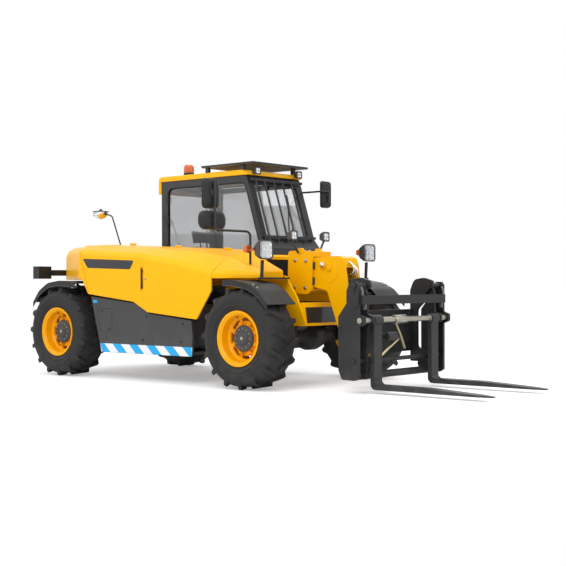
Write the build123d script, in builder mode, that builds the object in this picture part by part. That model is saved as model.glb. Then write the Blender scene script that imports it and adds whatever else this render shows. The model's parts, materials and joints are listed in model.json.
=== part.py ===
"""Compact electric telehandler with pallet forks, as separate jointed pieces.

Millimetres, +X towards the fork tips, +Y to the machine's left, +Z up, ground at Z 0.
Side outlines are written as (x, z) with x measured forward from the rear axle, and AXLE
shifts them so that the origin lies under the middle of the whole machine.
"""

import math
import os

from build123d import *

os.makedirs("parts", exist_ok=True)

# Where the rear axle lies in the finished frame.
AXLE = -1974.0

# Wheels and steering
WHEELBASE = 2350.0
AXLE_Z = 415.0
BEAD_R = 205.0
FLANGE_R = 227.5
TRACK_Y = 765.0
KINGPIN_Y = 660.0
KINGPIN_R = 18.0
SPINDLE_R = 40.0
RUNNING = 0.05

# Boom
PIVOT_X = -350.0
PIVOT_Z = 1050.0
BOOM_Y = -30.0
BOOM_SLOPE = 2.0
PIVOT_R = 35.0
OUTER_W = 220.0
OUTER_H = 290.0
OUTER_WALL = 10.0
OUTER_END = 2860.0
INNER_GAP = 6.0
INNER_WALL = 10.0

# Cylinders: base pin and rod eye of each, in side view
LIFT_BASE = (-230.0, 520.0)
LIFT_EYE = (700.0, 800.0)
TILT_BASE = (2670.0, 985.0)
TILT_EYE = (3010.0, 560.0)

# Carriage and forks
CARRIAGE_PIVOT = (2980.0, 320.0)
FORK_Y = 395.0
FORK_W = 100.0
FORK_T = 40.0
FORK_HEEL_X = 3340.0
FORK_LEN = 1070.0
SHAFT_X = 3360.0
SHAFT_Z = 570.0
SHAFT_R = 22.5

# Cab
CAB_RIGHT = 125.0
CAB_LEFT = 880.0
CAB_WALL = 30.0
PILLAR_LOW = (1680.0, 1276.0)
PILLAR_TOP = (1510.0, 1810.0)

# Panels and the hinge lines of the bonnet and the cab door
PANEL = 15.0
SIDE_Y = 880.0
HINGE_Y = -336.0
HINGE_Z = 1250.0
HINGE_DROP = 100.0
HINGES_X = (400.0, 1030.0, 1660.0)
DOOR_HINGE = (395.0, 890.0)


def draw(points, shift=0.0):
    """Face of a closed outline; a third number on a point rounds that corner."""
    corners = [(shift + point[0], point[1]) for point in points]
    radii = [point[2] if len(point) > 2 else 0 for point in points]
    with BuildLine() as line:
        if any(radii):
            FilletPolyline(*corners, radius=radii, close=True)
        else:
            Polyline(*corners, close=True)
    make_face(line.edges())


def side(points, y0, y1, mode=Mode.ADD, grow=0.0):
    """Extrude a side outline of (x, z) points, grown all round, from y0 to y1."""
    with BuildSketch(Plane.XZ.offset(-y0)) as outline:
        draw(points, AXLE)
        if grow:
            offset(amount=grow, mode=Mode.REPLACE)
    extrude(to_extrude=outline.sketch, amount=y0 - y1, mode=mode)


def plan(points, z0, z1, mode=Mode.ADD):
    """Extrude a plan outline of (x, y) points from z0 to z1."""
    with BuildSketch(Plane.XY.offset(z0)) as outline:
        draw(points, AXLE)
    extrude(to_extrude=outline.sketch, amount=z1 - z0, mode=mode)


def front(points, x0, x1, mode=Mode.ADD):
    """Extrude a front outline of (y, z) points from x0 to x1."""
    with BuildSketch(Plane.YZ.offset(AXLE + x0)) as outline:
        draw(points)
    extrude(to_extrude=outline.sketch, amount=x1 - x0, mode=mode)


def block(x0, x1, y0, y1, z0, z1, mode=Mode.ADD):
    """Add a block between its six limits."""
    with Locations((AXLE + (x0 + x1) / 2, (y0 + y1) / 2, (z0 + z1) / 2)):
        Box(x1 - x0, y1 - y0, z1 - z0, mode=mode)


def bar_y(x, z, radius, y0, y1, mode=Mode.ADD):
    """Add a round bar along Y."""
    with Locations((AXLE + x, (y0 + y1) / 2, z)):
        Cylinder(radius, y1 - y0, rotation=(90, 0, 0), mode=mode)


def bar_z(x, y, radius, z0, z1, mode=Mode.ADD):
    """Add a round bar along Z."""
    with Locations((AXLE + x, y, (z0 + z1) / 2)):
        Cylinder(radius, z1 - z0, mode=mode)


def bar_x(y, z, radius, x0, x1, mode=Mode.ADD):
    """Add a round bar along X."""
    with Locations((AXLE + (x0 + x1) / 2, y, z)):
        Cylinder(radius, x1 - x0, rotation=(0, 90, 0), mode=mode)


def rod(start, end, radius, mode=Mode.ADD):
    """Add a round bar between two points given as (x, y, z)."""
    a = Vector(AXLE + start[0], start[1], start[2])
    b = Vector(AXLE + end[0], end[1], end[2])
    with BuildSketch(Plane(origin=a, z_dir=b - a)) as circle:
        Circle(radius)
    extrude(to_extrude=circle.sketch, amount=(b - a).length, mode=mode)


def tube_path(points, radius, bend):
    """Add a round bar along a path of (x, y, z) points with rounded bends."""
    path = [Vector(AXLE + x, y, z) for x, y, z in points]
    with BuildLine() as line:
        FilletPolyline(*path, radius=bend)
    with BuildSketch(Plane(origin=line.line @ 0, z_dir=line.line % 0)) as circle:
        Circle(radius)
    sweep(sections=circle.sketch, path=line.line)


def boom_side(points, half_w, mode=Mode.ADD):
    """Extrude an outline given along and across the boom, centred on the boom."""
    slope = math.radians(BOOM_SLOPE)
    start = Plane(origin=(AXLE + PIVOT_X, BOOM_Y + half_w, PIVOT_Z),
                  x_dir=(math.cos(slope), 0, -math.sin(slope)), z_dir=(0, -1, 0))
    with BuildSketch(start) as outline:
        draw(points)
    extrude(to_extrude=outline.sketch, amount=2 * half_w, mode=mode)


def lamp(x0, x1, y, z, width, height, glass=6):
    """Lamp facing forward: rounded housing swelling from its back to a recessed lens."""
    steps = ((x0, 0.62), ((x0 + 2 * x1) / 3, 0.94), (x1, 1.0))
    faces = []
    for x, share in steps:
        with BuildSketch(Plane.YZ.offset(AXLE + x)) as ring:
            with Locations((y, z)):
                RectangleRounded(width * share, height * share, 0.18 * width * share)
        faces.append(ring.sketch.face())
    loft(sections=faces, ruled=True)
    with BuildSketch(Plane.YZ.offset(AXLE + x1)) as recess:
        with Locations((y, z)):
            RectangleRounded(width - 20, height - 20, 0.13 * width)
    extrude(to_extrude=recess.sketch, amount=-glass, mode=Mode.SUBTRACT)


def along(start, end, distance, offset=0.0):
    """Point at a distance along the line from start to end, in side view."""
    dx = end[0] - start[0]
    dz = end[1] - start[1]
    length = math.hypot(dx, dz)
    return (start[0] + (dx * distance - dz * offset) / length,
            start[1] + (dz * distance + dx * offset) / length)


def finish(builder, label):
    """Name a finished piece and write its file."""
    builder.part.label = label
    export_step(builder.part, f"parts/{label}.step")


# Chassis: the long pair of rails under the boom and the short outer rails at each axle.
with BuildPart() as chassis:
    block(-330, 2540, -350, -310, 500, 700)
    block(-330, 2540, 80, 120, 500, 700)
    block(-330, 290, 310, 350, 500, 700)
    block(1850, 2540, 310, 350, 500, 700)
    bar_y(LIFT_BASE[0], LIFT_BASE[1], 25 + RUNNING, 70, 130, Mode.SUBTRACT)
finish(chassis, "chassis")

# Cross members between the rails, interrupted by the left-hand long rail.
with BuildPart() as cross_members:
    for x0, x1, top, wide in ((-330, -290, 700, True), (240, 290, 560, True),
                              (1100, 1150, 620, False), (1900, 1950, 660, True),
                              (2500, 2540, 700, True)):
        block(x0, x1, -310, 80, 500, top)
        if wide:
            block(x0, x1, 120, 310, 500, top)
finish(cross_members, "cross_members")

# Boom tower: two plates between the rear cross members, with the pivot and lift pins.
with BuildPart() as boom_tower:
    tower = [(-440, 1120), (-250, 1120), (180, 700), (180, 600), (240, 560), (240, 500),
             (-290, 500), (-290, 700), (-330, 700), (-330, 860), (-440, 960)]
    side(tower, -190, -165)
    side(tower, 120, 145)
    bar_y(PIVOT_X, PIVOT_Z, 70, -190, BOOM_Y - OUTER_W / 2 - 6)
    bar_y(PIVOT_X, PIVOT_Z, 70, BOOM_Y + OUTER_W / 2 + 6, 145)
    bar_y(PIVOT_X, PIVOT_Z, PIVOT_R, -200, 155)
    bar_y(LIFT_BASE[0], LIFT_BASE[1], 25, -190, 145)
finish(boom_tower, "boom_tower")

with BuildPart() as rear_coupling:
    block(-350, -330, -120, 120, 400, 555)
    for z in (430, 505):
        block(-430, -340, -45, 45, z, z + 20)
    bar_z(-395, 0, 16, 400, 560, Mode.SUBTRACT)
finish(rear_coupling, "rear_coupling")

with BuildPart() as battery_pack:
    block(610, 1700, -800, -360, 330, 680)
finish(battery_pack, "battery_pack")

with BuildPart() as counterweight:
    plan([(-350.5, -390), (-390, -390, 20), (-440, -340, 60), (-440, 340, 60), (-390, 390, 20),
          (-350.5, 390)], 560, 850)
    fillet(counterweight.edges().group_by(Axis.Z)[-1].sort_by(Axis.X)[:-1], 12)
finish(counterweight, "counterweight")

# Yellow front plates with the cross panel under the boom.
with BuildPart() as front_plates:
    cheek = [(1700, 505), (1700, 900), (2200, 957), (2400, 922), (2520, 746), (2620, 520),
             (2600, 505)]
    side(cheek, -370, -350)
    side([(1850, 505), (1850, 900)] + cheek[2:], 350, 370)
    side([(2545, 505), (2545, 700), (2560, 700), (2590, 505)], -350, 350)
finish(front_plates, "front_plates")

# Axles: housing, tubes and the yokes that carry the kingpins.
for label, x in (("rear_axle", 0.0), ("front_axle", WHEELBASE)):
    with BuildPart() as axle:
        with BuildSketch(Plane.XY.offset(AXLE_Z)):
            draw([(0, -565), (50, -565), (58, -400), (66, -170), (104, -120, 30), (130, -45, 40),
                  (130, 45, 40), (104, 120, 30), (66, 170), (58, 400), (50, 565), (0, 565)],
                 AXLE + x)
        revolve(axis=Axis((AXLE + x, 0, AXLE_Z), (0, 1, 0)))
        block(x - 110, x + 110, -350, -290, AXLE_Z - 40, 500)
        block(x - 110, x + 110, 290, 350, AXLE_Z - 40, 500)
        block(x - 200, x + 200, -200, 200, 500, 700, Mode.SUBTRACT)
        for s in (-1, 1):
            block(x - 35, x + 35, min(s * 560, s * 590), max(s * 560, s * 590),
                  AXLE_Z - 82, AXLE_Z + 82)
            for z in (AXLE_Z - 82, AXLE_Z + 62):
                block(x - 35, x + 35, min(s * 560, s * KINGPIN_Y), max(s * 560, s * KINGPIN_Y),
                      z, z + 20)
                bar_z(x, s * KINGPIN_Y, 45, z, z + 20)
            bar_z(x, s * KINGPIN_Y, KINGPIN_R, AXLE_Z - 82, AXLE_Z + 82)
    finish(axle, label)

# Each corner: knuckle with its spindle and mudguard arm, mudguard, rim and tyre.
CORNERS = (("rear_right", 0.0, -1), ("rear_left", 0.0, 1),
           ("front_right", WHEELBASE, -1), ("front_left", WHEELBASE, 1))
RIM_PROFILE = [(-140, FLANGE_R), (-129, FLANGE_R), (-128, BEAD_R), (128, BEAD_R),
               (129, FLANGE_R), (140, FLANGE_R), (138, 212), (120, 192), (60, 186), (34, 160),
               (26, 112), (58, 108), (70, 96), (72, 0), (30, 0), (30, SPINDLE_R + RUNNING),
               (-30, SPINDLE_R + RUNNING), (-30, 70), (8, 90), (12, 150), (40, 195),
               (-122, 195), (-140, 212)]
GUARD_FRONT = [(-140, 886.5), (-40, 886.5), (120, 860), (230, 806), (347, 692)]
GUARD_REAR = [(-332, 691.5), (-240, 800), (-110, 872), (60, 892), (190, 886), (300, 869)]
GUARD_T = 5.5
GUARD_BEND = 170.0

# Tyre: a faceted carcass with two rows of lugs, the left row half a pitch behind the right.
# Half of its section as (distance from the middle, radius), and one lug's plan at its root
# and at its tip as (distance from the middle, run around the tread).
CARCASS = [(128, 231), (152, 262), (152, 345), (122, 387), (66, 394)]
CARCASS_SIDES = 20
LUGS = 15
LUG_ROOT = (345.0, [(-2, -66), (-2, -14), (154, 60), (154, 0)])
LUG_TIP = (410.9, [(4, -58), (4, -24), (145, 46), (145, 10)])
with BuildPart() as lug_pair:
    for row in (1, -1):
        lug_faces = []
        for height, outline in (LUG_ROOT, LUG_TIP):
            with BuildSketch(Plane.XY.offset(height)) as lug_plan:
                draw([(run, row * y) for y, run in outline])
            lug_faces.append(lug_plan.sketch.face())
        loft(sections=lug_faces, ruled=True)
with BuildPart() as tyre_blank:
    carcass_faces = []
    for y, radius in [(-y, r) for y, r in CARCASS] + CARCASS[::-1]:
        with BuildSketch(Plane.XZ.offset(-y)) as ring:
            RegularPolygon(radius, CARCASS_SIDES)
        carcass_faces.append(ring.sketch.face())
    loft(sections=carcass_faces, ruled=True)
    with Locations(*[Location((0, 0, 0), (0, 360 * n / LUGS, 0)) for n in range(LUGS)]):
        add(lug_pair.part.solids().sort_by(Axis.Y)[0])
    with Locations(*[Location((0, 0, 0), (0, 360 * (n + 0.5) / LUGS, 0)) for n in range(LUGS)]):
        add(lug_pair.part.solids().sort_by(Axis.Y)[-1])
    with BuildSketch(Plane.XZ.offset(-200)) as seat_bore:
        RegularPolygon(BEAD_R, CARCASS_SIDES, major_radius=False)
    extrude(to_extrude=seat_bore.sketch, amount=400, mode=Mode.SUBTRACT)

# Rim: a deep dish turned about the axle, with eight kidney holes round its disc, the wheel
# nuts' ring and the hub's cap.
KIDNEYS = 8
with BuildPart() as rim_blank:
    with BuildSketch(Plane.YX):
        draw(RIM_PROFILE)
    revolve(axis=Axis.Y)
    with BuildSketch(Plane.XZ) as kidneys:
        for n in range(KIDNEYS):
            with BuildLine(mode=Mode.PRIVATE) as middle:
                CenterArc((0, 0), 155, 360 * n / KIDNEYS - 13, 26)
            SlotArc(middle.line.edge(), 26)
    extrude(to_extrude=kidneys.sketch, amount=100, both=True, mode=Mode.SUBTRACT)
    with Locations(Plane.XZ.offset(-36)):
        with PolarLocations(126, KIDNEYS, 360 / KIDNEYS / 2):
            Cylinder(10, 24)

for corner, x, s in CORNERS:
    with BuildPart() as knuckle:
        bar_z(x, s * KINGPIN_Y, 42, AXLE_Z - 56, AXLE_Z + 56)
        bar_y(x, AXLE_Z, SPINDLE_R, min(s * 660, s * 790), max(s * 660, s * 790))
        bar_y(x, AXLE_Z, 62, min(s * 705, s * 722), max(s * 705, s * 722))
        bar_z(x, s * KINGPIN_Y, KINGPIN_R + RUNNING, AXLE_Z - 60, AXLE_Z + 60, Mode.SUBTRACT)
        tube_path([(x - 35, s * 660, 440), (x - 68, s * 660, 440), (x - 68, s * 660, 545),
                   (x - 68, s * 582, 545), (x - 68, s * 582, 850), (x - 68, s * 612, 855)],
                  10, 12)
        block(x - 76, x - 60, min(s * 596, s * 612), max(s * 596, s * 612), 850,
              873 if x == 0 else 883.5)
    finish(knuckle, f"knuckle_{corner}")

    route = [(AXLE + x + px, z) for px, z in (GUARD_REAR if x == 0 else GUARD_FRONT)]
    lip = route + [(px, z - 42) for px, z in reversed(route)]
    with BuildPart() as mudguard:
        with BuildSketch(Plane.XZ.offset(-s * 585)) as strip:
            with BuildLine():
                FilletPolyline(*route, radius=GUARD_BEND)
            trace(line_width=GUARD_T)
        extrude(to_extrude=strip.sketch, amount=-s * 341)
        with BuildSketch(Plane.XZ.offset(-s * 926)) as edge:
            with BuildLine():
                FilletPolyline(*lip, radius=([0] + [GUARD_BEND] * (len(route) - 2) + [0]) * 2,
                               close=True)
            make_face()
        extrude(to_extrude=edge.sketch, amount=-s * 5)
    finish(mudguard, f"mudguard_{corner}")

    place = Location((AXLE + x, s * TRACK_Y, AXLE_Z), (0, 0, 0 if s > 0 else 180))
    with BuildPart() as rim:
        with Locations(place):
            add(rim_blank.part)
    finish(rim, f"rim_{corner}")
    with BuildPart() as tyre:
        with Locations(place):
            add(tyre_blank.part)
    finish(tyre, f"tyre_{corner}")

# Right-hand skirt, left-hand skirt with its two steps.
with BuildPart() as side_skirt:
    skirt = [(440, 748, 6), (588, 243, 12), (1760, 243, 25), (1780, 420, 60), (1762, 550, 12),
             (1235, 602, 60), (1055, 690, 60)]
    side(skirt, -850, -822)
    block(600, 1750, -822, -360, 255, 280)
finish(side_skirt, "side_skirt")

with BuildPart() as cab_step:
    side([(652, 450), (690, 250, 20), (1745, 250, 20), (1770, 450)], 820, 850)
    block(700, 1740, 130, 820, 255, 280)
    block(700, 1740, 130, 160, 280, 450)
    side([(950, 300, 8), (1400, 300, 8), (1400, 325, 8), (950, 325, 8)], 840, 905)
    for n in range(9):
        block(975 + 46 * n, 1003 + 46 * n, 858, 896, 295, 330, Mode.SUBTRACT)
finish(cab_step, "cab_step")

# Yellow body on the right, as front-view sections from tail to front wheel; the left tail
# mirrors the first of them. The tail's end closes in over three of them.
TAIL = [(-193, 1230), (-512, 1217, 100), (-592, 1180, 50), (-617, 1141, 50), (-617, 500)]


def shrunk(section, distance):
    """Section drawn in from its outer side and its top."""
    return [(y + (distance if n else 0), z - distance, *corner)
            for n, (y, z, *corner) in enumerate(section)]


BODY = [(-262, shrunk(TAIL, 46)), (-248, shrunk(TAIL, 18)), (-215, TAIL),
        (300, [(-193, 1238), (-700, 1226, 200), (-845, 1180, 60), (-SIDE_Y, 1150, 40),
               (-SIDE_Y, 500)]),
        (1064, [(-193, 1200), (-700, 1188, 200), (-845, 1140, 60), (-SIDE_Y, 1108, 40),
                (-SIDE_Y, 500)]),
        (1616, [(-193, 1172), (-700, 1145, 200), (-845, 1062, 60), (-SIDE_Y, 1025, 40),
                (-SIDE_Y, 500)]),
        (2035, [(-193, 1146), (-700, 1085, 200), (-840, 978, 60), (-SIDE_Y, 943, 40),
                (-SIDE_Y, 500)])]


def body_loft(sections, inset=0.0, mode=Mode.ADD):
    """Ruled solid through front-view sections, each closed along its inner edge."""
    faces = []
    for x, points in sections:
        ring = [(y + (inset if n else -0.8 * inset), z - inset,
                 *[max(r - inset, 8) for r in corner])
                for n, (y, z, *corner) in enumerate(points)]
        ring.append((ring[0][0], ring[-1][1]))
        with BuildSketch(Plane.YZ.offset(AXLE + x)) as outline:
            draw(ring)
        faces.append(outline.sketch.face())
    loft(sections=faces, ruled=True, mode=mode)


def body_skin(region, y0, y1):
    """Body wall within a side-view region and between two Y values."""
    body_loft(BODY)
    hollow = [(x + PANEL, points) for x, points in BODY[:2]] + BODY[2:-1]
    body_loft(hollow + [(2036, BODY[-1][1])], PANEL, Mode.SUBTRACT)
    side(region, y0, y1, Mode.INTERSECT)


with BuildPart() as right_tail:
    body_skin([(-270, 905), (350, 905), (436, 772), (444, 772), (316, 1152), (316, 1300),
               (-270, 1300)], -900, -190)
    block(318, 500, -335, -190, 700, 1300, Mode.SUBTRACT)
with BuildPart() as left_tail:
    body_skin([(-270, 905), (316, 905), (316, 1300), (-270, 1300)], -900, -190)

# Louvres: ribs across the tail's top.
LOUVRES = 6
LOUVRE_STEP = 52.0
with BuildPart() as tail_cowl:
    add(right_tail.part)
    add(mirror(left_tail.part, about=Plane.XZ, mode=Mode.PRIVATE))
    for n in range(LOUVRES):
        x = -60 + LOUVRE_STEP * n
        front([(-300, 1222), (-300, 1243, 6), (-505, 1236, 6), (-530, 1205)], x, x + 24)
finish(tail_cowl, "tail_cowl")


def hinge_z(x):
    """Height of the bonnet's hinge line, which runs just above the body's top edge."""
    return HINGE_Z - (x - 320) * HINGE_DROP / 1709


def bonnet_hinge(x0, x1, y_leaf):
    """One hinge knuckle on the bonnet's line with its leaf out to y_leaf."""
    rod((x0, HINGE_Y, hinge_z(x0)), (x1, HINGE_Y, hinge_z(x1)), 8)
    side([(x0, hinge_z(x0) - 17), (x1, hinge_z(x1) - 17), (x1, hinge_z(x1) - 3),
          (x0, hinge_z(x0) - 3)], min(HINGE_Y, y_leaf), max(HINGE_Y, y_leaf))


with BuildPart() as spine_cover:
    body_skin([(321, 930), (2030, 930), (2030, 1300), (321, 1300)], -330, -190)
    for x in HINGES_X:
        bonnet_hinge(x, x + 38, HINGE_Y + 30)
finish(spine_cover, "spine_cover")

with BuildPart() as bonnet:
    body_skin([(321, 1300), (321, 1153), (450, 770, 12), (1062, 704, 80), (1243, 615, 80),
               (1854, 561, 25), (2029, 800, 40), (2029, 1300)], -900, -340)
    side([(1156, 790, 16), (1194, 790, 16), (1194, 1013, 16), (1156, 1013, 16)], -890, -873,
         Mode.SUBTRACT)
    for x in HINGES_X:
        bonnet_hinge(x + 40, x + 78, HINGE_Y - 30)
finish(bonnet, "bonnet")

# Bonnet latch: a paddle on two posts that stand in its recess.
with BuildPart() as bonnet_latch:
    for z in (838, 978):
        bar_y(1175, z, 7, -882, -873)
    side([(1166, 815, 8), (1184, 815, 8), (1182, 1000, 8), (1168, 1000, 8)], -887, -881)
finish(bonnet_latch, "bonnet_latch")

# Wing in front of the bonnet: it sinks and narrows to a rounded nose above the axle.
WING_NOSE = [(-400, 978), (-620, 972, 50), (-685, 950, 20), (-705, 932, 10), (-705, 905)]
WING = [(2034, [(-385, 1135), (-700, 1085, 200), (-840, 978, 60), (-SIDE_Y, 943, 40),
                (-SIDE_Y, 905)]),
        (2250, [(-385, 1030), (-680, 1015, 90), (-780, 965, 40), (-800, 935, 20), (-800, 905)]),
        (2374, WING_NOSE), (2392, shrunk(WING_NOSE, 7)), (2399, shrunk(WING_NOSE, 18))]
with BuildPart() as front_wing:
    body_loft([(x, points[:-1] + [(points[-1][0], 905)]) for x, points in WING])
    wing_hollow = [(2033, WING[0][1]), WING[1], (2368, WING[2][1])]
    body_loft([(x, points[:-1] + [(points[-1][0], 880)]) for x, points in wing_hollow],
              12, Mode.SUBTRACT)
finish(front_wing, "front_wing")

# Boom: hollow outer with its collar, hollow inner with the gooseneck cheeks.
half_h = OUTER_H / 2
half_w = OUTER_W / 2
with BuildPart() as boom_outer:
    boom_side([(80, half_h), (-60, 80), (-80, 0), (-60, -80), (80, -half_h),
               (OUTER_END, -half_h), (OUTER_END, half_h)], half_w)
    fillet(boom_outer.edges().filter_by(lambda e: e.length > OUTER_END - 100), 22)
    collar = [(2592, -150, 15), (2640, -183, 30), (2820, -183, 30), (OUTER_END, -150, 15),
              (OUTER_END, 183, 6), (2592, 183, 30)]
    boom_side(collar, half_w + 15)
    for y in (-130, 110):
        side([(2350, 1120), (2350, 1162, 14), (2410, 1162, 14), (2410, 1120)],
             BOOM_Y + y, BOOM_Y + y + 20)
    boom_side([(160, half_h - OUTER_WALL), (160, OUTER_WALL - half_h),
               (OUTER_END + 5, OUTER_WALL - half_h), (OUTER_END + 5, half_h - OUTER_WALL)],
              half_w - OUTER_WALL, Mode.SUBTRACT)
    lug = [(LIFT_EYE[0] - 110, 890), (LIFT_EYE[0] - 35, LIFT_EYE[1] - 30),
           (LIFT_EYE[0] - 15, LIFT_EYE[1] - 45), (LIFT_EYE[0] + 15, LIFT_EYE[1] - 45),
           (LIFT_EYE[0] + 45, LIFT_EYE[1] - 20), (LIFT_EYE[0] + 110, 880)]
    with BuildPart(mode=Mode.PRIVATE) as lugs:
        side(lug, BOOM_Y - 65, BOOM_Y - 45)
        side(lug, BOOM_Y + 45, BOOM_Y + 65)
        boom_side([(0, half_h - OUTER_WALL), (0, 1 - half_h), (OUTER_END, 1 - half_h),
                   (OUTER_END, half_h - OUTER_WALL)], half_w, Mode.SUBTRACT)
    add(lugs.part)
    bar_y(LIFT_EYE[0], LIFT_EYE[1], 25, BOOM_Y - 80, BOOM_Y + 80, Mode.SUBTRACT)
    bar_y(PIVOT_X, PIVOT_Z, PIVOT_R + RUNNING, -200, 200, Mode.SUBTRACT)
finish(boom_outer, "boom_outer")

inner_h = half_h - OUTER_WALL - INNER_GAP
inner_w = half_w - OUTER_WALL - INNER_GAP
NOSE = [(2530, 1078), (2700, 1088, 30), (2780, 1086, 15), (2820, 1068, 12), (2838, 1020, 20),
        (2868, 800, 80), (2950, 560, 60), (3052, 345, 15), (3050, 300, 12), (3020, 262, 12),
        (2975, 250, 12), (2925, 272, 15), (2870, 350, 20), (2770, 480, 60), (2650, 800, 60),
        (2530, 822)]
with BuildPart() as boom_inner:
    boom_side([(330, inner_h), (330, -inner_h), (2960, -inner_h), (2960, inner_h)], inner_w)
    boom_side([(325, inner_h - INNER_WALL), (325, INNER_WALL - inner_h),
               (2965, INNER_WALL - inner_h), (2965, inner_h - INNER_WALL)],
              inner_w - INNER_WALL, Mode.SUBTRACT)
    fillet(boom_inner.edges().filter_by(lambda e: e.length > 2500).group_by(Axis.Y)[0], 14)
    fillet(boom_inner.edges().filter_by(lambda e: e.length > 2500).group_by(Axis.Y)[-1], 14)
    side(NOSE, BOOM_Y - inner_w, BOOM_Y - inner_w + 20)
    side(NOSE, BOOM_Y + inner_w - 20, BOOM_Y + inner_w)
    side([(2600, 1070), (2600, 1084), (2700, 1088), (2780, 1086), (2820, 1068), (2838, 1020),
          (2842, 990), (2828, 990), (2824, 1018), (2808, 1058), (2775, 1072)],
         BOOM_Y - inner_w + 10, BOOM_Y + inner_w - 10)
    side([(2638, 800), (2652, 806), (2775, 480), (2762, 480)],
         BOOM_Y - inner_w + 10, BOOM_Y + inner_w - 10)
    bar_y(TILT_BASE[0], TILT_BASE[1], 20, BOOM_Y - inner_w - 6, BOOM_Y + inner_w + 6)
    bar_y(CARRIAGE_PIVOT[0], CARRIAGE_PIVOT[1], 30 + RUNNING, -200, 200, Mode.SUBTRACT)
finish(boom_inner, "boom_inner")

# Cylinders: each barrel turns on its base pin, each rod ends in an eye that clears its lugs.
def barrel(base, eye, body, bore, pin, width, short_by):
    """Barrel from its base eye, bored for the rod, ending short_by before the rod's eye."""
    dx = eye[0] - base[0]
    dz = eye[1] - base[1]
    reach = math.hypot(dx, dz) - short_by
    tip = along(base, eye, reach)
    start = along(base, eye, 30)
    bar_y(base[0], base[1], pin + 22, BOOM_Y - width / 2, BOOM_Y + width / 2)
    rod((start[0], BOOM_Y, start[1]), (tip[0], BOOM_Y, tip[1]), body)
    gland = along(base, eye, reach - 42)
    rod((gland[0], BOOM_Y, gland[1]), (tip[0], BOOM_Y, tip[1]), body + 5)
    inside = along(base, eye, pin + 30)
    past = along(base, eye, reach + 5)
    rod((inside[0], BOOM_Y, inside[1]), (past[0], BOOM_Y, past[1]), bore, Mode.SUBTRACT)
    bar_y(base[0], base[1], pin + RUNNING, BOOM_Y - width, BOOM_Y + width, Mode.SUBTRACT)


def piston_rod(base, eye, radius, pin, tail, width):
    """Rod from deep inside the barrel to its open eye."""
    back = along(base, eye, tail)
    neck = along(eye, base, 20)
    rod((back[0], BOOM_Y, back[1]), (neck[0], BOOM_Y, neck[1]), radius)
    bar_y(eye[0], eye[1], pin + 15, BOOM_Y - width / 2, BOOM_Y + width / 2)
    bar_y(eye[0], eye[1], pin, BOOM_Y - width, BOOM_Y + width, Mode.SUBTRACT)


with BuildPart() as lift_barrel:
    barrel(LIFT_BASE, LIFT_EYE, 50, 30 + RUNNING, 25, 80, 75)
finish(lift_barrel, "lift_barrel")
with BuildPart() as lift_rod:
    piston_rod(LIFT_BASE, LIFT_EYE, 30, 25, 90, 70)
finish(lift_rod, "lift_rod")
with BuildPart() as tilt_barrel:
    barrel(TILT_BASE, TILT_EYE, 42, 25 + RUNNING, 20, 70, 110)
finish(tilt_barrel, "tilt_barrel")
with BuildPart() as tilt_rod:
    piston_rod(TILT_BASE, TILT_EYE, 25, 18, 125, 60)
finish(tilt_rod, "tilt_rod")

# Carriage: knuckle plates on the boom pivot and the cross plate, then its hooked side plates.
with BuildPart() as carriage:
    arm = [(2930, 300, 20), (2950, 265, 20), (2990, 262, 30), (3080, 290, 60), (3130, 290),
           (3130, 640), (3095, 640, 20), (3030, 420, 60), (2950, 368, 20), (2930, 340, 15)]
    for y in (BOOM_Y - 125, BOOM_Y + 100):
        side(arm, y, y + 25)
    ear = [(3115, 470), (3115, 640), (3040, 598, 60), (2975, 592, 30), (2975, 525, 30),
           (3030, 525, 40)]
    for y in (BOOM_Y - 60, BOOM_Y + 40):
        side(ear, y, y + 20)
    block(3110, 3140, -425, 425, 290, 640)
    bar_y(TILT_EYE[0], TILT_EYE[1], 18, -200, 200, Mode.SUBTRACT)
    bar_y(CARRIAGE_PIVOT[0], CARRIAGE_PIVOT[1], 30, BOOM_Y - 130, BOOM_Y + 130)
finish(carriage, "carriage")

with BuildPart() as carriage_hooks:
    hook = [(3110, 200, 10), (3110, 800, 60), (3150, 890, 60), (3250, 905, 80), (3335, 880, 25),
            (3345, 830, 15), (3300, 805, 20), (3265, 770, 30), (3250, 700, 60), (3180, 640, 60),
            (3180, 320, 30), (3250, 300, 40), (3335, 290, 20), (3335, 215, 20), (3240, 200, 40)]
    for y in (-450, 425):
        side(hook, y, y + 25)
    bar_y(3300, 839, 20, -480, 480, Mode.SUBTRACT)
    bar_y(3292, 253, 18, -480, 480, Mode.SUBTRACT)
    for x, z, radius in ((3135, 560, 9), (3160, 560, 9), (3142, 530, 6)):
        bar_y(x, z, radius, -480, 480, Mode.SUBTRACT)
finish(carriage_hooks, "carriage_hooks")

# Fork frame: side and inner plates, top bar, hook tube and lower tube.
with BuildPart() as fork_frame:
    outer_plate = [(3145, 180, 15), (3180, 110, 20), (3300, 106, 30), (3342, 130, 15),
                   (3342, 520, 15), (3398, 540, 15), (3398, 600, 15), (3342, 620, 15),
                   (3342, 845, 12), (3322, 870, 12), (3270, 870, 25), (3240, 840, 25),
                   (3240, 720, 30), (3145, 600, 40)]
    for y in (-600, 575):
        side(outer_plate, y, y + 25)
    inner_plate = [(3160, 180, 15), (3190, 110, 20), (3330, 110, 15), (3335, 520, 10),
                   (3398, 540, 12), (3398, 600, 12), (3335, 620, 10), (3335, 780, 20),
                   (3290, 860, 20), (3250, 840, 15), (3250, 700, 30), (3200, 640, 30),
                   (3200, 300, 40)]
    for y in (-478, 456):
        side(inner_plate, y, y + 22)
    block(3342, 3366, -576, 576, 695, 765)
    bar_y(3260, 135, 30, -580, 580)
    bar_y(3292, 253, 17, -600, 600)
    bar_y(3300, 839, 19, -600, -415)
    bar_y(3300, 839, 19, 415, 600)
    bar_y(SHAFT_X, SHAFT_Z, SHAFT_R, -620, 620, Mode.SUBTRACT)
finish(fork_frame, "fork_frame")

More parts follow.
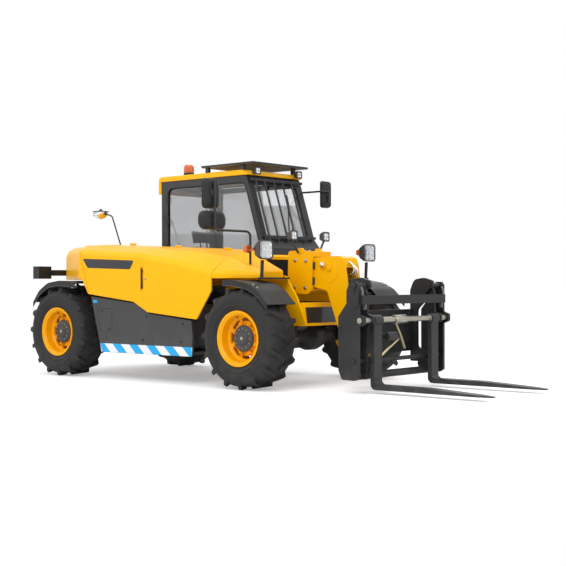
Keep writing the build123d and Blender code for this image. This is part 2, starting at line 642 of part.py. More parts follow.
with BuildPart() as fork_shaft:
    bar_y(SHAFT_X, SHAFT_Z, SHAFT_R, -612, 612)
finish(fork_shaft, "fork_shaft")

with BuildPart() as forks:
    for s in (-1, 1):
        y0 = s * FORK_Y - FORK_W / 2
        tip = FORK_HEEL_X + FORK_LEN
        side([(FORK_HEEL_X, 600, 10), (FORK_HEEL_X, 30, 45), (tip, 30, 3), (tip, 40, 3),
              (FORK_HEEL_X + 500, 70, 300), (FORK_HEEL_X + FORK_T, 70, 35),
              (FORK_HEEL_X + FORK_T, 600, 10)], y0, y0 + FORK_W)
        bar_y(SHAFT_X, SHAFT_Z, 40, y0, y0 + FORK_W)
        bar_y(SHAFT_X, SHAFT_Z, SHAFT_R + RUNNING, y0 - 5, y0 + FORK_W + 5, Mode.SUBTRACT)
        for t in (-1, 1):
            edge = s * FORK_Y + t * FORK_W / 2
            plan([(tip - 130, edge), (tip + 5, edge), (tip + 5, edge - t * 32)], 20, 60,
                 Mode.SUBTRACT)
finish(forks, "forks")

# Cab: hollow frame with its windows cut, roof, door, glass, seat, console and guards.
CAB_SIDE = [(340, 1868), (340, 935), (545, 915), (635, 455), (1795, 455), (1812, 760),
            (1756, 1186), PILLAR_LOW, PILLAR_TOP, (1485, 1868)]
CAB_INSIDE = [(370, 1900), (370, 962), (570, 940), (660, 485), (1766, 485), (1781, 760),
              (1727, 1176), (1651, 1267), (1480, 1802), (1455, 1868), (1455, 1900)]
DOOR = [(405, 1840, 60), (405, 985, 60), (590, 965, 60), (682, 505, 60), (1745, 505, 60),
        (1762, 760, 60), (1710, 1172, 60), (1634, 1262, 60), (1452, 1840, 60)]


def pillar_x(z):
    """X of the windscreen pillar's front line at a height."""
    run = PILLAR_TOP[0] - PILLAR_LOW[0]
    return PILLAR_TOP[0] - (PILLAR_TOP[1] - z) * run / (PILLAR_TOP[1] - PILLAR_LOW[1])


RIGHT_WINDOW = [(430, 1800, 60), (430, 1130, 60), (1690, 1130, 40), (1640, 1262, 60),
                (1469, 1800, 45)]
REAR_WINDOW = [(215, 1190, 40), (790, 1190, 40), (790, 1790, 40), (215, 1790, 40)]
SCREEN = [(205, 1300, 25), (800, 1300, 25), (800, 1780, 25), (205, 1780, 25)]
LOW_SCREEN = [(205, 780, 40), (800, 780, 40), (800, 1120, 40), (205, 1120, 40)]
with BuildPart() as cab_shell:
    side(CAB_SIDE, CAB_RIGHT, CAB_LEFT)
    side(CAB_INSIDE, CAB_RIGHT + CAB_WALL, CAB_LEFT - CAB_WALL, Mode.SUBTRACT)
    side(RIGHT_WINDOW, CAB_RIGHT - 5, CAB_RIGHT + CAB_WALL + 5, Mode.SUBTRACT)
    side(DOOR, CAB_LEFT - CAB_WALL - 5, CAB_LEFT + 5, Mode.SUBTRACT, 6)
    front(REAR_WINDOW, 330, 380, Mode.SUBTRACT)
    front(SCREEN, 1460, 1900, Mode.SUBTRACT)
    front(LOW_SCREEN, 1700, 1900, Mode.SUBTRACT)
    for z in (1030, 1680):
        for foot in (z, z + 82):
            bar_z(DOOR_HINGE[0], DOOR_HINGE[1], 9, foot, foot + 38)
            block(352, DOOR_HINGE[0], CAB_LEFT, CAB_LEFT + 6, foot, foot + 38)
finish(cab_shell, "cab_shell")

with BuildPart() as cab_glass:
    side(RIGHT_WINDOW, CAB_RIGHT + 12, CAB_RIGHT + 18)
    front(REAR_WINDOW, 352, 358)
    side([(pillar_x(1300) - 18, 1300), (pillar_x(1300) - 12, 1300),
          (pillar_x(1780) - 12, 1780), (pillar_x(1780) - 18, 1780)], 205, 800)
    side([(1792, 780), (1798, 780), (1753, 1120), (1747, 1120)], 205, 800)
    with BuildPart(mode=Mode.PRIVATE) as keep:
        front(SCREEN, 1460, 1900)
        front(LOW_SCREEN, 1700, 1900)
        block(300, 1459, CAB_RIGHT, CAB_LEFT, 1100, 1900)
        side([(300, 1110), (1900, 1110), (1900, 1850), (300, 1850)], CAB_RIGHT, CAB_RIGHT + 30)
    add(keep.part, mode=Mode.INTERSECT)
finish(cab_glass, "cab_glass")

with BuildPart() as cab_door:
    side(DOOR, CAB_LEFT - CAB_WALL, CAB_LEFT)
    side(DOOR, CAB_LEFT - CAB_WALL - 5, CAB_LEFT + 5, Mode.SUBTRACT, -45)
    side([(500, 1120), (1700, 1120), (1690, 1180), (500, 1180)], CAB_LEFT - CAB_WALL, CAB_LEFT)
    for z in (1070, 1720):
        bar_z(DOOR_HINGE[0], DOOR_HINGE[1], 9, z, z + 40)
        block(DOOR_HINGE[0], 440, CAB_LEFT, CAB_LEFT + 6, z, z + 40)
finish(cab_door, "cab_door")

with BuildPart() as door_glass:
    side(DOOR, CAB_LEFT - 18, CAB_LEFT - 12, grow=-45)
    side([(400, 1120), (1800, 1120), (1800, 1180), (400, 1180)], CAB_LEFT - 25, CAB_LEFT,
         Mode.SUBTRACT)
finish(door_glass, "door_glass")

with BuildPart() as cab_roof:
    side([(300, 1750, 6), (302, 1920, 40), (1450, 1920, 50), (1505, 1886, 15), (1505, 1870),
          (338, 1870), (338, 1750, 6)], CAB_RIGHT - 12, CAB_LEFT + 12)
    fillet(cab_roof.edges().filter_by(Axis.X).group_by(Axis.Z)[-1], 14)
finish(cab_roof, "cab_roof")

with BuildPart() as operator_seat:
    side([(760, 485), (1020, 485), (980, 620, 20), (1060, 700), (720, 700), (800, 620, 20)],
         300, 650)
    side([(655, 700, 20), (655, 835, 50), (1090, 848, 60), (1135, 770, 40), (1115, 700, 20)],
         250, 700)
    side([(655, 832, 10), (775, 842, 30), (665, 1230, 50), (545, 1232, 40)], 265, 685)
    side([(530, 1252, 30), (614, 1252, 30), (594, 1392, 30), (518, 1390, 30)], 330, 620)
    block(560, 590, 430, 520, 1225, 1255)
finish(operator_seat, "operator_seat")

WHEEL_HUB = (1385.0, 480.0, 1155.0)
with BuildPart() as control_console:
    side([(1600, 485), (1740, 485), (1700, 1060, 30), (1600, 1120, 30), (1540, 1060, 40)],
         260, 700)
    rod((1560, 480, 980), WHEEL_HUB, 30)
    tilted = Plane(origin=(AXLE + WHEEL_HUB[0], WHEEL_HUB[1], WHEEL_HUB[2]), z_dir=(-1, 0, 1))
    with Locations(tilted):
        Torus(178, 13)
        Cylinder(38, 26)
        with PolarLocations(100, 3):
            Box(140, 26, 10)
finish(control_console, "control_console")

with BuildPart() as roof_guard:
    block(930, 1600, 95, 880, 1965, 1985)
    with Locations((AXLE + 1265, 487, 1975)):
        with GridLocations(52, 0, 12, 1):
            Box(30, 700, 40, mode=Mode.SUBTRACT)
    for x in (960, 1420):
        for y in (120, 830):
            block(x, x + 40, y, y + 30, 1920, 1965)
finish(roof_guard, "roof_guard")

with BuildPart() as screen_bars:
    for y in (200, 320, 450, 570, 700):
        rod((pillar_x(1250) + 32, y, 1250), (pillar_x(1840) + 32, y, 1840), 9)
    for z in (1292, 1828):
        block(pillar_x(z) + 24, pillar_x(z) + 40, 140, 860, z - 12, z + 12)
    for y in (150, 830):
        block(pillar_x(1280), pillar_x(1292) + 30, y, y + 20, 1280, 1304)
finish(screen_bars, "screen_bars")

with BuildPart() as beacon:
    bar_z(620, 230, 45, 1920, 1945)
    bar_z(620, 230, 50, 1945, 2030)
    fillet(beacon.edges().group_by(Axis.Z)[-1], 24)
finish(beacon, "beacon")

# Lamps, their brackets, mirrors and their tubes.
with BuildPart() as lamp_brackets:
    for s in (-1, 1):
        block(2402, 2450, min(s * 371, s * 720), max(s * 371, s * 720), 896, 910)
        rod((2432, s * 700, 905), (2440, s * 700, 1050), 14)
        block(-400, -262, min(s * 520, s * 715), max(s * 520, s * 715), 945, 1000)
        block(-420, -330, min(s * 715, s * 865), max(s * 715, s * 865), 915, 1035)
finish(lamp_brackets, "lamp_brackets")

with BuildPart() as work_lamps:
    for s in (-1, 1):
        lamp(2400, 2480, s * 697, 1135, 170, 158)
    for y in (210, 800):
        lamp(1508, 1560, y, 1908, 80, 74)
finish(work_lamps, "work_lamps")

with BuildPart() as signal_lamps:
    for s in (-1, 1):
        with BuildSketch(Plane.YZ.offset(AXLE - 432)) as lens:
            with Locations((s * 790, 975)):
                RectangleRounded(130, 100, 14)
        extrude(to_extrude=lens.sketch, amount=12)
        lamp(2290, 2340, s * 755, 1142, 42, 66, 3)
        block(2336, 2400, min(s * 742, s * 756), max(s * 742, s * 756), 1125, 1140)
finish(signal_lamps, "signal_lamps")

with BuildPart() as boom_lamps:
    for s in (-1, 1):
        y = BOOM_Y + s * 215
        lamp(2336, 2390, y, 1268, 90, 86)
        rod((2370, BOOM_Y + s * 139, 1120), (2365, y, 1235), 9)
finish(boom_lamps, "boom_lamps")

with BuildPart() as mirror_tubes:
    tube_path([(2260, -650, 1018), (2260, -650, 1290), (2127, -934, 1300), (2127, -934, 1700)],
              10, 40)
    tube_path([(1512, 890, 1744), (1780, 890, 1744), (1780, 980, 1744), (1780, 980, 1640)],
              9, 25)
    tube_path([(169, -260, 1238), (40, -260, 1530), (-30, -260, 1548), (-240, -260, 1548)],
              7, 40)
finish(mirror_tubes, "mirror_tubes")


def mirror_head(x0, x1, y, z, width, height):
    """Mirror shell that narrows forward from its rounded glass."""
    faces = []
    for x, share in ((x0, 1.0), ((x0 + 2 * x1) / 3, 0.95), (x1, 0.72)):
        with BuildSketch(Plane.YZ.offset(AXLE + x)) as ring:
            with Locations((y, z)):
                RectangleRounded(width * share, height * share, 0.22 * width * share)
        faces.append(ring.sketch.face())
    loft(sections=faces, ruled=True)


with BuildPart() as mirrors:
    mirror_head(2073, 2113, -939, 1600, 180, 250)
    mirror_head(2073, 2113, -919, 1380, 300, 156)
    mirror_head(1725, 1766, 980, 1720, 140, 260)
    with Locations((AXLE - 133, -260, 1580)):
        Sphere(75)
    block(-300, 0, -400, -100, 1580, 1700, Mode.SUBTRACT)
    bar_x(-260, 1548, 7.5, -300, 0, Mode.SUBTRACT)
finish(mirrors, "mirrors")
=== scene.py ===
"""Looks of the compact electric telehandler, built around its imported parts.

All positions are in metres in the part's frame. Side positions are often written as metres
forward from the rear axle, which AXLE_X turns into the part's X.
"""

from __future__ import annotations

import json
import logging
import math
from dataclasses import dataclass
from enum import Enum
from typing import Sequence

import bmesh
import bpy
from mathutils import Matrix, Vector

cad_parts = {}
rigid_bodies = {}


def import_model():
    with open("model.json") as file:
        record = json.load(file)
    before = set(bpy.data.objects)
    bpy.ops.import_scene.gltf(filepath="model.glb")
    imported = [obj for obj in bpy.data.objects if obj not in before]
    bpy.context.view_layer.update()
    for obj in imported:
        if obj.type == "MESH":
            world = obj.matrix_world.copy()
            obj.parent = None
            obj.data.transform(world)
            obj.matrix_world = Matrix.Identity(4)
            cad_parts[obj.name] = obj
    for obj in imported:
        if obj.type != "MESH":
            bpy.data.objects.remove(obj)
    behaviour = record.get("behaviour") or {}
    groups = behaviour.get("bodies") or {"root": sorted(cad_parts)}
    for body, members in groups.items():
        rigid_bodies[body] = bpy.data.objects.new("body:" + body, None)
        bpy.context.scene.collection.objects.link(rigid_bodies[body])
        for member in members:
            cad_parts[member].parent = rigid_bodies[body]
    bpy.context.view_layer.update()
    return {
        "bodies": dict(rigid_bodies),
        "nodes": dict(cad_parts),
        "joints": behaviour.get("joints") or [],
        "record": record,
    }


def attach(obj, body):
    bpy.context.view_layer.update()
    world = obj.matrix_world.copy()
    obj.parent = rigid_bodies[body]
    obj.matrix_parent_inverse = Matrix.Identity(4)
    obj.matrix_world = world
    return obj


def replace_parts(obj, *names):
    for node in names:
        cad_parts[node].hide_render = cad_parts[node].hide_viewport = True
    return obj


LOG = logging.getLogger("telehandler")

AXLE_X = -1.974
WHEELBASE = 2.35
AXLE_Z = 0.415
TRACK_Y = 0.765
BOOM_Y = -0.03
BOOM_SLOPE = math.radians(2.0)
BOOM_PIVOT = (-0.35, 1.05)

MIX_FIRST = 6
MIX_SECOND = 7
MIX_RESULT = 2
BEVEL_SAMPLES = 4

Colour = tuple[float, float, float]
Loop = list[Vector]

ACROSS = Vector((0.0, 1.0, 0.0))
AHEAD = Vector((1.0, 0.0, 0.0))
UP = Vector((0.0, 0.0, 1.0))


def at(x: float, y: float, z: float) -> Vector:
    """Point given forward from the rear axle.

    Args:
        x: Metres forward from the rear axle.
        y: Metres to the machine's left.
        z: Metres above the ground.

    Returns:
        The point in the part's frame.
    """
    return Vector((AXLE_X + x, y, z))


def on_boom(along: float, above: float, y: float) -> Vector:
    """Point on the boom, given along and square to its centre line at rest.

    Args:
        along: Metres from the boom's pivot towards its head.
        above: Metres above the centre line.
        y: Metres to the machine's left.

    Returns:
        The point in the part's frame.
    """
    c, s = math.cos(BOOM_SLOPE), math.sin(BOOM_SLOPE)
    return at(BOOM_PIVOT[0] + along * c + above * s, y, BOOM_PIVOT[1] - along * s + above * c)


def rounded(points: Sequence[tuple[float, ...]], steps: int = 6) -> list[tuple[float, float]]:
    """Outline with round corners.

    Args:
        points: Corners as (a, b) or (a, b, radius).
        steps: Points per rounded corner, less one.

    Returns:
        The outline's points in order.
    """
    outline: list[tuple[float, float]] = []
    count = len(points)
    for n, corner in enumerate(points):
        here = Vector(corner[:2])
        radius = corner[2] if len(corner) > 2 else 0.0
        before = (Vector(points[n - 1][:2]) - here).normalized()
        after = (Vector(points[(n + 1) % count][:2]) - here).normalized()
        half = before.angle(after) / 2
        if radius == 0.0 or abs(half - math.pi / 2) < 1e-4:
            outline.append(tuple(here))
            continue
        centre = here + (before + after).normalized() * radius / math.sin(half)
        start = here + before * radius / math.tan(half) - centre
        stop = here + after * radius / math.tan(half) - centre
        sweep = start.angle_signed(stop)
        for k in range(steps + 1):
            turned = start.copy()
            turned.rotate(Matrix.Rotation(-sweep * k / steps, 2))
            outline.append(tuple(centre + turned))
    return outline


class Relief(Enum):
    """Small-scale relief that a finish carries."""

    PEEL = "paint_peel"
    PEBBLE = "moulded_pebble"
    CAST = "cast_skin"
    DRAWN = "drawn_lines"
    WEAVE = "woven_cloth"


class ShaderKit:
    """Shader node groups that the finishes share, each built once.

    Each SPAN gives the two ends of a range of values that a mask is stretched from.
    """

    CLOUD_DETAIL = 4.0
    CLOUD_SPAN = (0.32, 0.68)
    EDGE_SPAN = (0.03, 0.2)
    CHIP_SCALE = 42.0
    CHIP_SPAN = (0.48, 0.66)
    LEVEL_SPAN = (0.5, 1.0)
    LEVEL_SHARE = 0.5
    LOW_SPAN = (0.55, 0.05)
    LOW_SHARE = 0.6
    DUST_SCALE = 11.0
    DUST_SPAN = (0.4, 0.72)
    SLOW_PEEL_SCALE = 9.0
    SLOW_PEEL_SHARE = 1.4
    PEBBLE_NOISE_SCALE = 60.0
    DRAWN_STRETCH = (1.0, 0.03, 1.0)
    THREAD_SWAY = 0.4

    def __init__(self) -> None:
        """Build every group."""
        self.mottle = self.mottling()
        self.wear = self.edge_wear()
        self.dust = self.settled_dust()
        self.reliefs = {kind: self.relief(kind) for kind in Relief}

    @staticmethod
    def group(name: str, inputs: dict[str, float], output: str) -> tuple[
            bpy.types.NodeTree, bpy.types.Node, bpy.types.Node]:
        """Start a group with number inputs and one number output.

        Args:
            name: The group's name.
            inputs: Input names with their default values.
            output: The output's name.

        Returns:
            The tree, its input node and its output node.
        """
        tree = bpy.data.node_groups.new(name, "ShaderNodeTree")
        for label, value in inputs.items():
            socket = tree.interface.new_socket(label, in_out="INPUT",
                                               socket_type="NodeSocketFloat")
            socket.default_value = value
        tree.interface.new_socket(output, in_out="OUTPUT", socket_type="NodeSocketFloat")
        return tree, tree.nodes.new("NodeGroupInput"), tree.nodes.new("NodeGroupOutput")

    @staticmethod
    def noise(tree: bpy.types.NodeTree, scale: bpy.types.NodeSocket | float, detail: float,
              stretch: tuple[float, float, float] = (1.0, 1.0, 1.0)) -> bpy.types.NodeSocket:
        """Add noise in the piece's own coordinates.

        Args:
            tree: Tree that gets the nodes.
            scale: A socket or a number that sets the scale.
            detail: The noise's detail.
            stretch: Factors on the three coordinates.

        Returns:
            The noise's Fac output.
        """
        place = tree.nodes.new("ShaderNodeTexCoord")
        mapping = tree.nodes.new("ShaderNodeMapping")
        mapping.inputs["Scale"].default_value = stretch
        texture = tree.nodes.new("ShaderNodeTexNoise")
        texture.inputs["Detail"].default_value = detail
        tree.links.new(place.outputs["Object"], mapping.inputs["Vector"])
        tree.links.new(mapping.outputs["Vector"], texture.inputs["Vector"])
        if isinstance(scale, bpy.types.NodeSocket):
            tree.links.new(scale, texture.inputs["Scale"])
        else:
            texture.inputs["Scale"].default_value = scale
        return texture.outputs["Fac"]

    @staticmethod
    def math(tree: bpy.types.NodeTree, operation: str, first: bpy.types.NodeSocket | float,
             second: bpy.types.NodeSocket | float = 0.0, clamp: bool = False
             ) -> bpy.types.NodeSocket:
        """Add a Math node.

        Args:
            tree: Tree that gets the node.
            operation: The node's operation.
            first: First value.
            second: Second value.
            clamp: Whether the result is held between 0 and 1.

        Returns:
            The node's output.
        """
        node = tree.nodes.new("ShaderNodeMath")
        node.operation = operation
        node.use_clamp = clamp
        for socket, value in zip(node.inputs, (first, second)):
            if isinstance(value, bpy.types.NodeSocket):
                tree.links.new(value, socket)
            else:
                socket.default_value = value
        return node.outputs[0]

    @staticmethod
    def spread(tree: bpy.types.NodeTree, value: bpy.types.NodeSocket, low: float, high: float,
               to_low: float = 0.0, to_high: float = 1.0) -> bpy.types.NodeSocket:
        """Map a value from one range to another, held to the second.

        Args:
            tree: Tree that gets the node.
            value: The value's socket.
            low: Start of the first range.
            high: End of the first range.
            to_low: Start of the second range.
            to_high: End of the second range.

        Returns:
            The mapped value's socket.
        """
        node = tree.nodes.new("ShaderNodeMapRange")
        tree.links.new(value, node.inputs["Value"])
        for label, number in (("From Min", low), ("From Max", high), ("To Min", to_low),
                              ("To Max", to_high)):
            node.inputs[label].default_value = number
        return node.outputs["Result"]

    def mottling(self) -> bpy.types.NodeTree:
        """Build the soft cloudiness that varies colour and gloss.

        Returns:
            Its group, which puts out a factor.
        """
        tree, source, result = self.group("mottling", {"Scale": 4.0}, "Factor")
        clouds = self.noise(tree, source.outputs["Scale"], self.CLOUD_DETAIL)
        tree.links.new(self.spread(tree, clouds, *self.CLOUD_SPAN), result.inputs["Factor"])
        return tree

    def edge_wear(self) -> bpy.types.NodeTree:
        """Build the mask of rubbed edges, broken up by noise.

        Returns:
            Its group, which puts out a mask.
        """
        tree, source, result = self.group("edge_wear", {"Width": 0.004, "Amount": 0.5}, "Mask")
        bevel = tree.nodes.new("ShaderNodeBevel")
        bevel.samples = BEVEL_SAMPLES
        tree.links.new(source.outputs["Width"], bevel.inputs["Radius"])
        geometry = tree.nodes.new("ShaderNodeNewGeometry")
        dot = tree.nodes.new("ShaderNodeVectorMath")
        dot.operation = "DOT_PRODUCT"
        tree.links.new(bevel.outputs["Normal"], dot.inputs[0])
        tree.links.new(geometry.outputs["Normal"], dot.inputs[1])
        turned = self.math(tree, "SUBTRACT", 1.0, dot.outputs["Value"])
        edge = self.spread(tree, turned, *self.EDGE_SPAN)
        chips = self.spread(tree, self.noise(tree, self.CHIP_SCALE, 5.0), *self.CHIP_SPAN)
        mask = self.math(tree, "MULTIPLY", edge, chips)
        tree.links.new(self.math(tree, "MULTIPLY", mask, source.outputs["Amount"], True),
                       result.inputs["Mask"])
        return tree

    def settled_dust(self) -> bpy.types.NodeTree:
        """Build the mask of dust on level faces and near the ground.

        Returns:
            Its group, which puts out a mask.
        """
        tree, source, result = self.group("settled_dust", {"Amount": 0.2}, "Mask")
        geometry = tree.nodes.new("ShaderNodeNewGeometry")
        normal = tree.nodes.new("ShaderNodeSeparateXYZ")
        tree.links.new(geometry.outputs["Normal"], normal.inputs["Vector"])
        place = tree.nodes.new("ShaderNodeTexCoord")
        height = tree.nodes.new("ShaderNodeSeparateXYZ")
        tree.links.new(place.outputs["Object"], height.inputs["Vector"])
        level = self.spread(tree, normal.outputs["Z"], *self.LEVEL_SPAN, 0.0, self.LEVEL_SHARE)
        low = self.spread(tree, height.outputs["Z"], *self.LOW_SPAN, 0.0, self.LOW_SHARE)
        both = self.math(tree, "MAXIMUM", level, low)
        clouds = self.spread(tree, self.noise(tree, self.DUST_SCALE, 6.0), *self.DUST_SPAN)
        mask = self.math(tree, "MULTIPLY", both, clouds)
        tree.links.new(self.math(tree, "MULTIPLY", mask, source.outputs["Amount"], True),
                       result.inputs["Mask"])
        return tree

    def relief(self, kind: Relief) -> bpy.types.NodeTree:
        """Build one kind of fine relief.

        Args:
            kind: The relief wanted.

        Returns:
            Its group, which puts out a height.
        """
        tree, source, result = self.group(kind.value, {"Scale": 100.0}, "Height")
        scale = source.outputs["Scale"]
        if kind is Relief.PEEL:
            slow = self.math(tree, "MULTIPLY", self.noise(tree, self.SLOW_PEEL_SCALE, 1.0),
                             self.SLOW_PEEL_SHARE)
            height = self.math(tree, "ADD", self.noise(tree, scale, 1.5), slow)
        elif kind is Relief.PEBBLE:
            cells = tree.nodes.new("ShaderNodeTexVoronoi")
            place = tree.nodes.new("ShaderNodeTexCoord")
            tree.links.new(place.outputs["Object"], cells.inputs["Vector"])
            tree.links.new(scale, cells.inputs["Scale"])
            height = self.math(tree, "SUBTRACT",
                               self.noise(tree, self.PEBBLE_NOISE_SCALE, 2.0),
                               cells.outputs["Distance"])
        elif kind is Relief.CAST:
            height = self.noise(tree, scale, 8.0)
        elif kind is Relief.DRAWN:
            height = self.noise(tree, scale, 3.0, self.DRAWN_STRETCH)
        else:
            height = self.weave(tree, scale)
        tree.links.new(height, result.inputs["Height"])
        return tree

    def weave(self, tree: bpy.types.NodeTree, scale: bpy.types.NodeSocket
              ) -> bpy.types.NodeSocket:
        """Cross two sets of threads.

        Args:
            tree: Tree that gets the nodes.
            scale: Socket with the threads' scale.

        Returns:
            The weave's height.
        """
        place = tree.nodes.new("ShaderNodeTexCoord")
        threads = []
        for direction in ("X", "Y"):
            wave = tree.nodes.new("ShaderNodeTexWave")
            wave.bands_direction = direction
            wave.inputs["Distortion"].default_value = self.THREAD_SWAY
            tree.links.new(place.outputs["Object"], wave.inputs["Vector"])
            tree.links.new(scale, wave.inputs["Scale"])
            threads.append(wave.outputs["Fac"])
        return self.math(tree, "ADD", *threads)


@dataclass(frozen=True)
class Finish:
    """A coated, moulded or bare surface with its variation, wear and fine relief."""

    COAT_ROUGHNESS = 0.06
    SMOOTHER = 0.04
    ROUGHER = 0.06
    DUST_DULLS = 0.5
    RELIEF_STRENGTH = 0.6
    LEAST_WEAR_WIDTH = 0.002

    name: str
    colour: Colour
    second: Colour
    roughness: float
    relief: Relief
    relief_scale: float
    relief_depth: float
    metallic: float = 0.0
    coat: float = 0.0
    shine: float = 0.3
    rounding: float = 0.003
    worn: Colour = (0.32, 0.31, 0.3)
    wear: float = 0.25
    dust: float = 0.12
    dust_colour: Colour = (0.42, 0.39, 0.34)
    clouds: float = 5.0

    def material(self, kit: ShaderKit) -> bpy.types.Material:
        """Build the material.

        Args:
            kit: The shared node groups.

        Returns:
            The material.
        """
        material = bpy.data.materials.new(self.name)
        material.use_nodes = True
        tree = material.node_tree
        shader = tree.nodes["Principled BSDF"]
        shader.inputs["Metallic"].default_value = self.metallic
        shader.inputs["Coat Weight"].default_value = self.coat
        shader.inputs["Specular IOR Level"].default_value = self.shine
        shader.inputs["Coat Roughness"].default_value = self.COAT_ROUGHNESS
        clouds = self.place(tree, kit.mottle, {"Scale": self.clouds}).outputs["Factor"]
        width = max(self.rounding, self.LEAST_WEAR_WIDTH)
        rubbed = self.place(tree, kit.wear,
                            {"Width": width, "Amount": self.wear}).outputs["Mask"]
        dusty = self.place(tree, kit.dust, {"Amount": self.dust}).outputs["Mask"]
        colour = self.blend(tree, clouds, self.colour, self.second)
        colour = self.blend(tree, rubbed, colour, self.worn)
        colour = self.blend(tree, dusty, colour, self.dust_colour)
        tree.links.new(colour, shader.inputs["Base Color"])
        gloss = kit.spread(tree, clouds, 0.0, 1.0, self.roughness - self.SMOOTHER,
                           self.roughness + self.ROUGHER)
        dulled = kit.math(tree, "MULTIPLY", dusty, self.DUST_DULLS)
        gloss = kit.math(tree, "ADD", gloss, dulled, True)
        tree.links.new(gloss, shader.inputs["Roughness"])
        height = self.place(tree, kit.reliefs[self.relief], {"Scale": self.relief_scale})
        bump = tree.nodes.new("ShaderNodeBump")
        bump.inputs["Strength"].default_value = self.RELIEF_STRENGTH
        bump.inputs["Distance"].default_value = self.relief_depth
        tree.links.new(height.outputs["Height"], bump.inputs["Height"])
        bevel = tree.nodes.new("ShaderNodeBevel")
        bevel.samples = BEVEL_SAMPLES
        bevel.inputs["Radius"].default_value = self.rounding
        tree.links.new(bevel.outputs["Normal"], bump.inputs["Normal"])
        tree.links.new(bump.outputs["Normal"], shader.inputs["Normal"])
        return material

    @staticmethod
    def place(tree: bpy.types.NodeTree, group: bpy.types.NodeTree, values: dict[str, float]
              ) -> bpy.types.Node:
        """Place a shared group with its own values.

        Args:
            tree: The material's tree.
            group: The group.
            values: Input names with their values.

        Returns:
            The group's node.
        """
        node = tree.nodes.new("ShaderNodeGroup")
        node.node_tree = group
        for label, value in values.items():
            node.inputs[label].default_value = value
        return node

    @staticmethod
    def blend(tree: bpy.types.NodeTree, factor: bpy.types.NodeSocket,
              first: bpy.types.NodeSocket | Colour, second: Colour) -> bpy.types.NodeSocket:
        """Mix two colours by a mask.

        Args:
            tree: The material's tree.
            factor: The mask.
            first: Colour where the mask is 0, as a socket or a value.
            second: Colour where the mask is 1.

        Returns:
            The mixed colour's socket.
        """
        mix = tree.nodes.new("ShaderNodeMix")
        mix.data_type = "RGBA"
        tree.links.new(factor, mix.inputs["Factor"])
        if isinstance(first, bpy.types.NodeSocket):
            tree.links.new(first, mix.inputs[MIX_FIRST])
        else:
            mix.inputs[MIX_FIRST].default_value = (*first, 1.0)
        mix.inputs[MIX_SECOND].default_value = (*second, 1.0)
        return mix.outputs[MIX_RESULT]


@dataclass(frozen=True)
class Pane:
    """Clear or tinted glazing that lets the lamps' light through."""

    IOR = 1.45
    CLOUDS = 3.0
    DEEPER = 0.94
    ROUGHER = 0.02
    RIPPLE_SCALE = 30.0

    name: str
    colour: Colour
    roughness: float
    ripple: float = 0.0002

    def material(self, kit: ShaderKit) -> bpy.types.Material:
        """Build the material.

        Args:
            kit: The shared node groups.

        Returns:
            The material.
        """
        material = bpy.data.materials.new(self.name)
        material.use_nodes = True
        tree = material.node_tree
        shader = tree.nodes["Principled BSDF"]
        shader.inputs["Transmission Weight"].default_value = 1.0
        shader.inputs["IOR"].default_value = self.IOR
        clouds = Finish.place(tree, kit.mottle, {"Scale": self.CLOUDS}).outputs["Factor"]
        deeper = tuple(self.DEEPER * part for part in self.colour)
        tree.links.new(Finish.blend(tree, clouds, self.colour, deeper),
                       shader.inputs["Base Color"])
        gloss = kit.spread(tree, clouds, 0.0, 1.0, self.roughness, self.roughness + self.ROUGHER)
        tree.links.new(gloss, shader.inputs["Roughness"])
        height = Finish.place(tree, kit.reliefs[Relief.PEEL], {"Scale": self.RIPPLE_SCALE})
        bump = tree.nodes.new("ShaderNodeBump")
        bump.inputs["Distance"].default_value = self.ripple
        tree.links.new(height.outputs["Height"], bump.inputs["Height"])
        tree.links.new(bump.outputs["Normal"], shader.inputs["Normal"])
        clear = tree.nodes.new("ShaderNodeBsdfTransparent")
        clear.inputs["Color"].default_value = (*self.colour, 1.0)
        path = tree.nodes.new("ShaderNodeLightPath")
        mix = tree.nodes.new("ShaderNodeMixShader")
        tree.links.new(path.outputs["Is Shadow Ray"], mix.inputs["Fac"])
        tree.links.new(shader.outputs["BSDF"], mix.inputs[1])
        tree.links.new(clear.outputs["BSDF"], mix.inputs[2])
        tree.links.new(mix.outputs["Shader"], tree.nodes["Material Output"].inputs["Surface"])
        return material


YELLOW = Finish("yellow_enamel", (0.96, 0.47, 0.0), (0.93, 0.45, 0.0), 0.34, Relief.PEEL,
                170.0, 0.0004, coat=0.05, shine=0.14, worn=(0.72, 0.36, 0.02), wear=0.2,
                dust=0.03)
RIM_YELLOW = Finish("wheel_enamel", (0.93, 0.41, 0.0), (0.88, 0.38, 0.0), 0.34, Relief.PEEL,
                    150.0, 0.0004, coat=0.05, shine=0.16, worn=(0.6, 0.3, 0.03), wear=0.2,
                    dust=0.04)
GREY_PANEL = Finish("charcoal_enamel", (0.04, 0.041, 0.043), (0.046, 0.047, 0.05), 0.45,
                    Relief.PEEL, 210.0, 0.0004, coat=0.15, worn=(0.12, 0.12, 0.12), dust=0.15)
CAB_BLACK = Finish("cab_enamel", (0.014, 0.0145, 0.015), (0.018, 0.0185, 0.02), 0.38,
                   Relief.PEEL, 210.0, 0.0003, coat=0.1, worn=(0.08, 0.08, 0.08), dust=0.05)
BLACK_STEEL = Finish("black_steel", (0.016, 0.0165, 0.017), (0.022, 0.0225, 0.023), 0.44,
                     Relief.CAST, 90.0, 0.0006, worn=(0.2, 0.2, 0.2), wear=0.4, dust=0.12)
FORGED = Finish("forged_black", (0.026, 0.026, 0.027), (0.034, 0.034, 0.035), 0.48,
                Relief.CAST, 45.0, 0.0008, worn=(0.3, 0.29, 0.28), wear=0.55, dust=0.12)
CAST_GREY = Finish("cast_grey", (0.05, 0.05, 0.052), (0.065, 0.065, 0.067), 0.6, Relief.CAST,
                   60.0, 0.0014, dust=0.2)
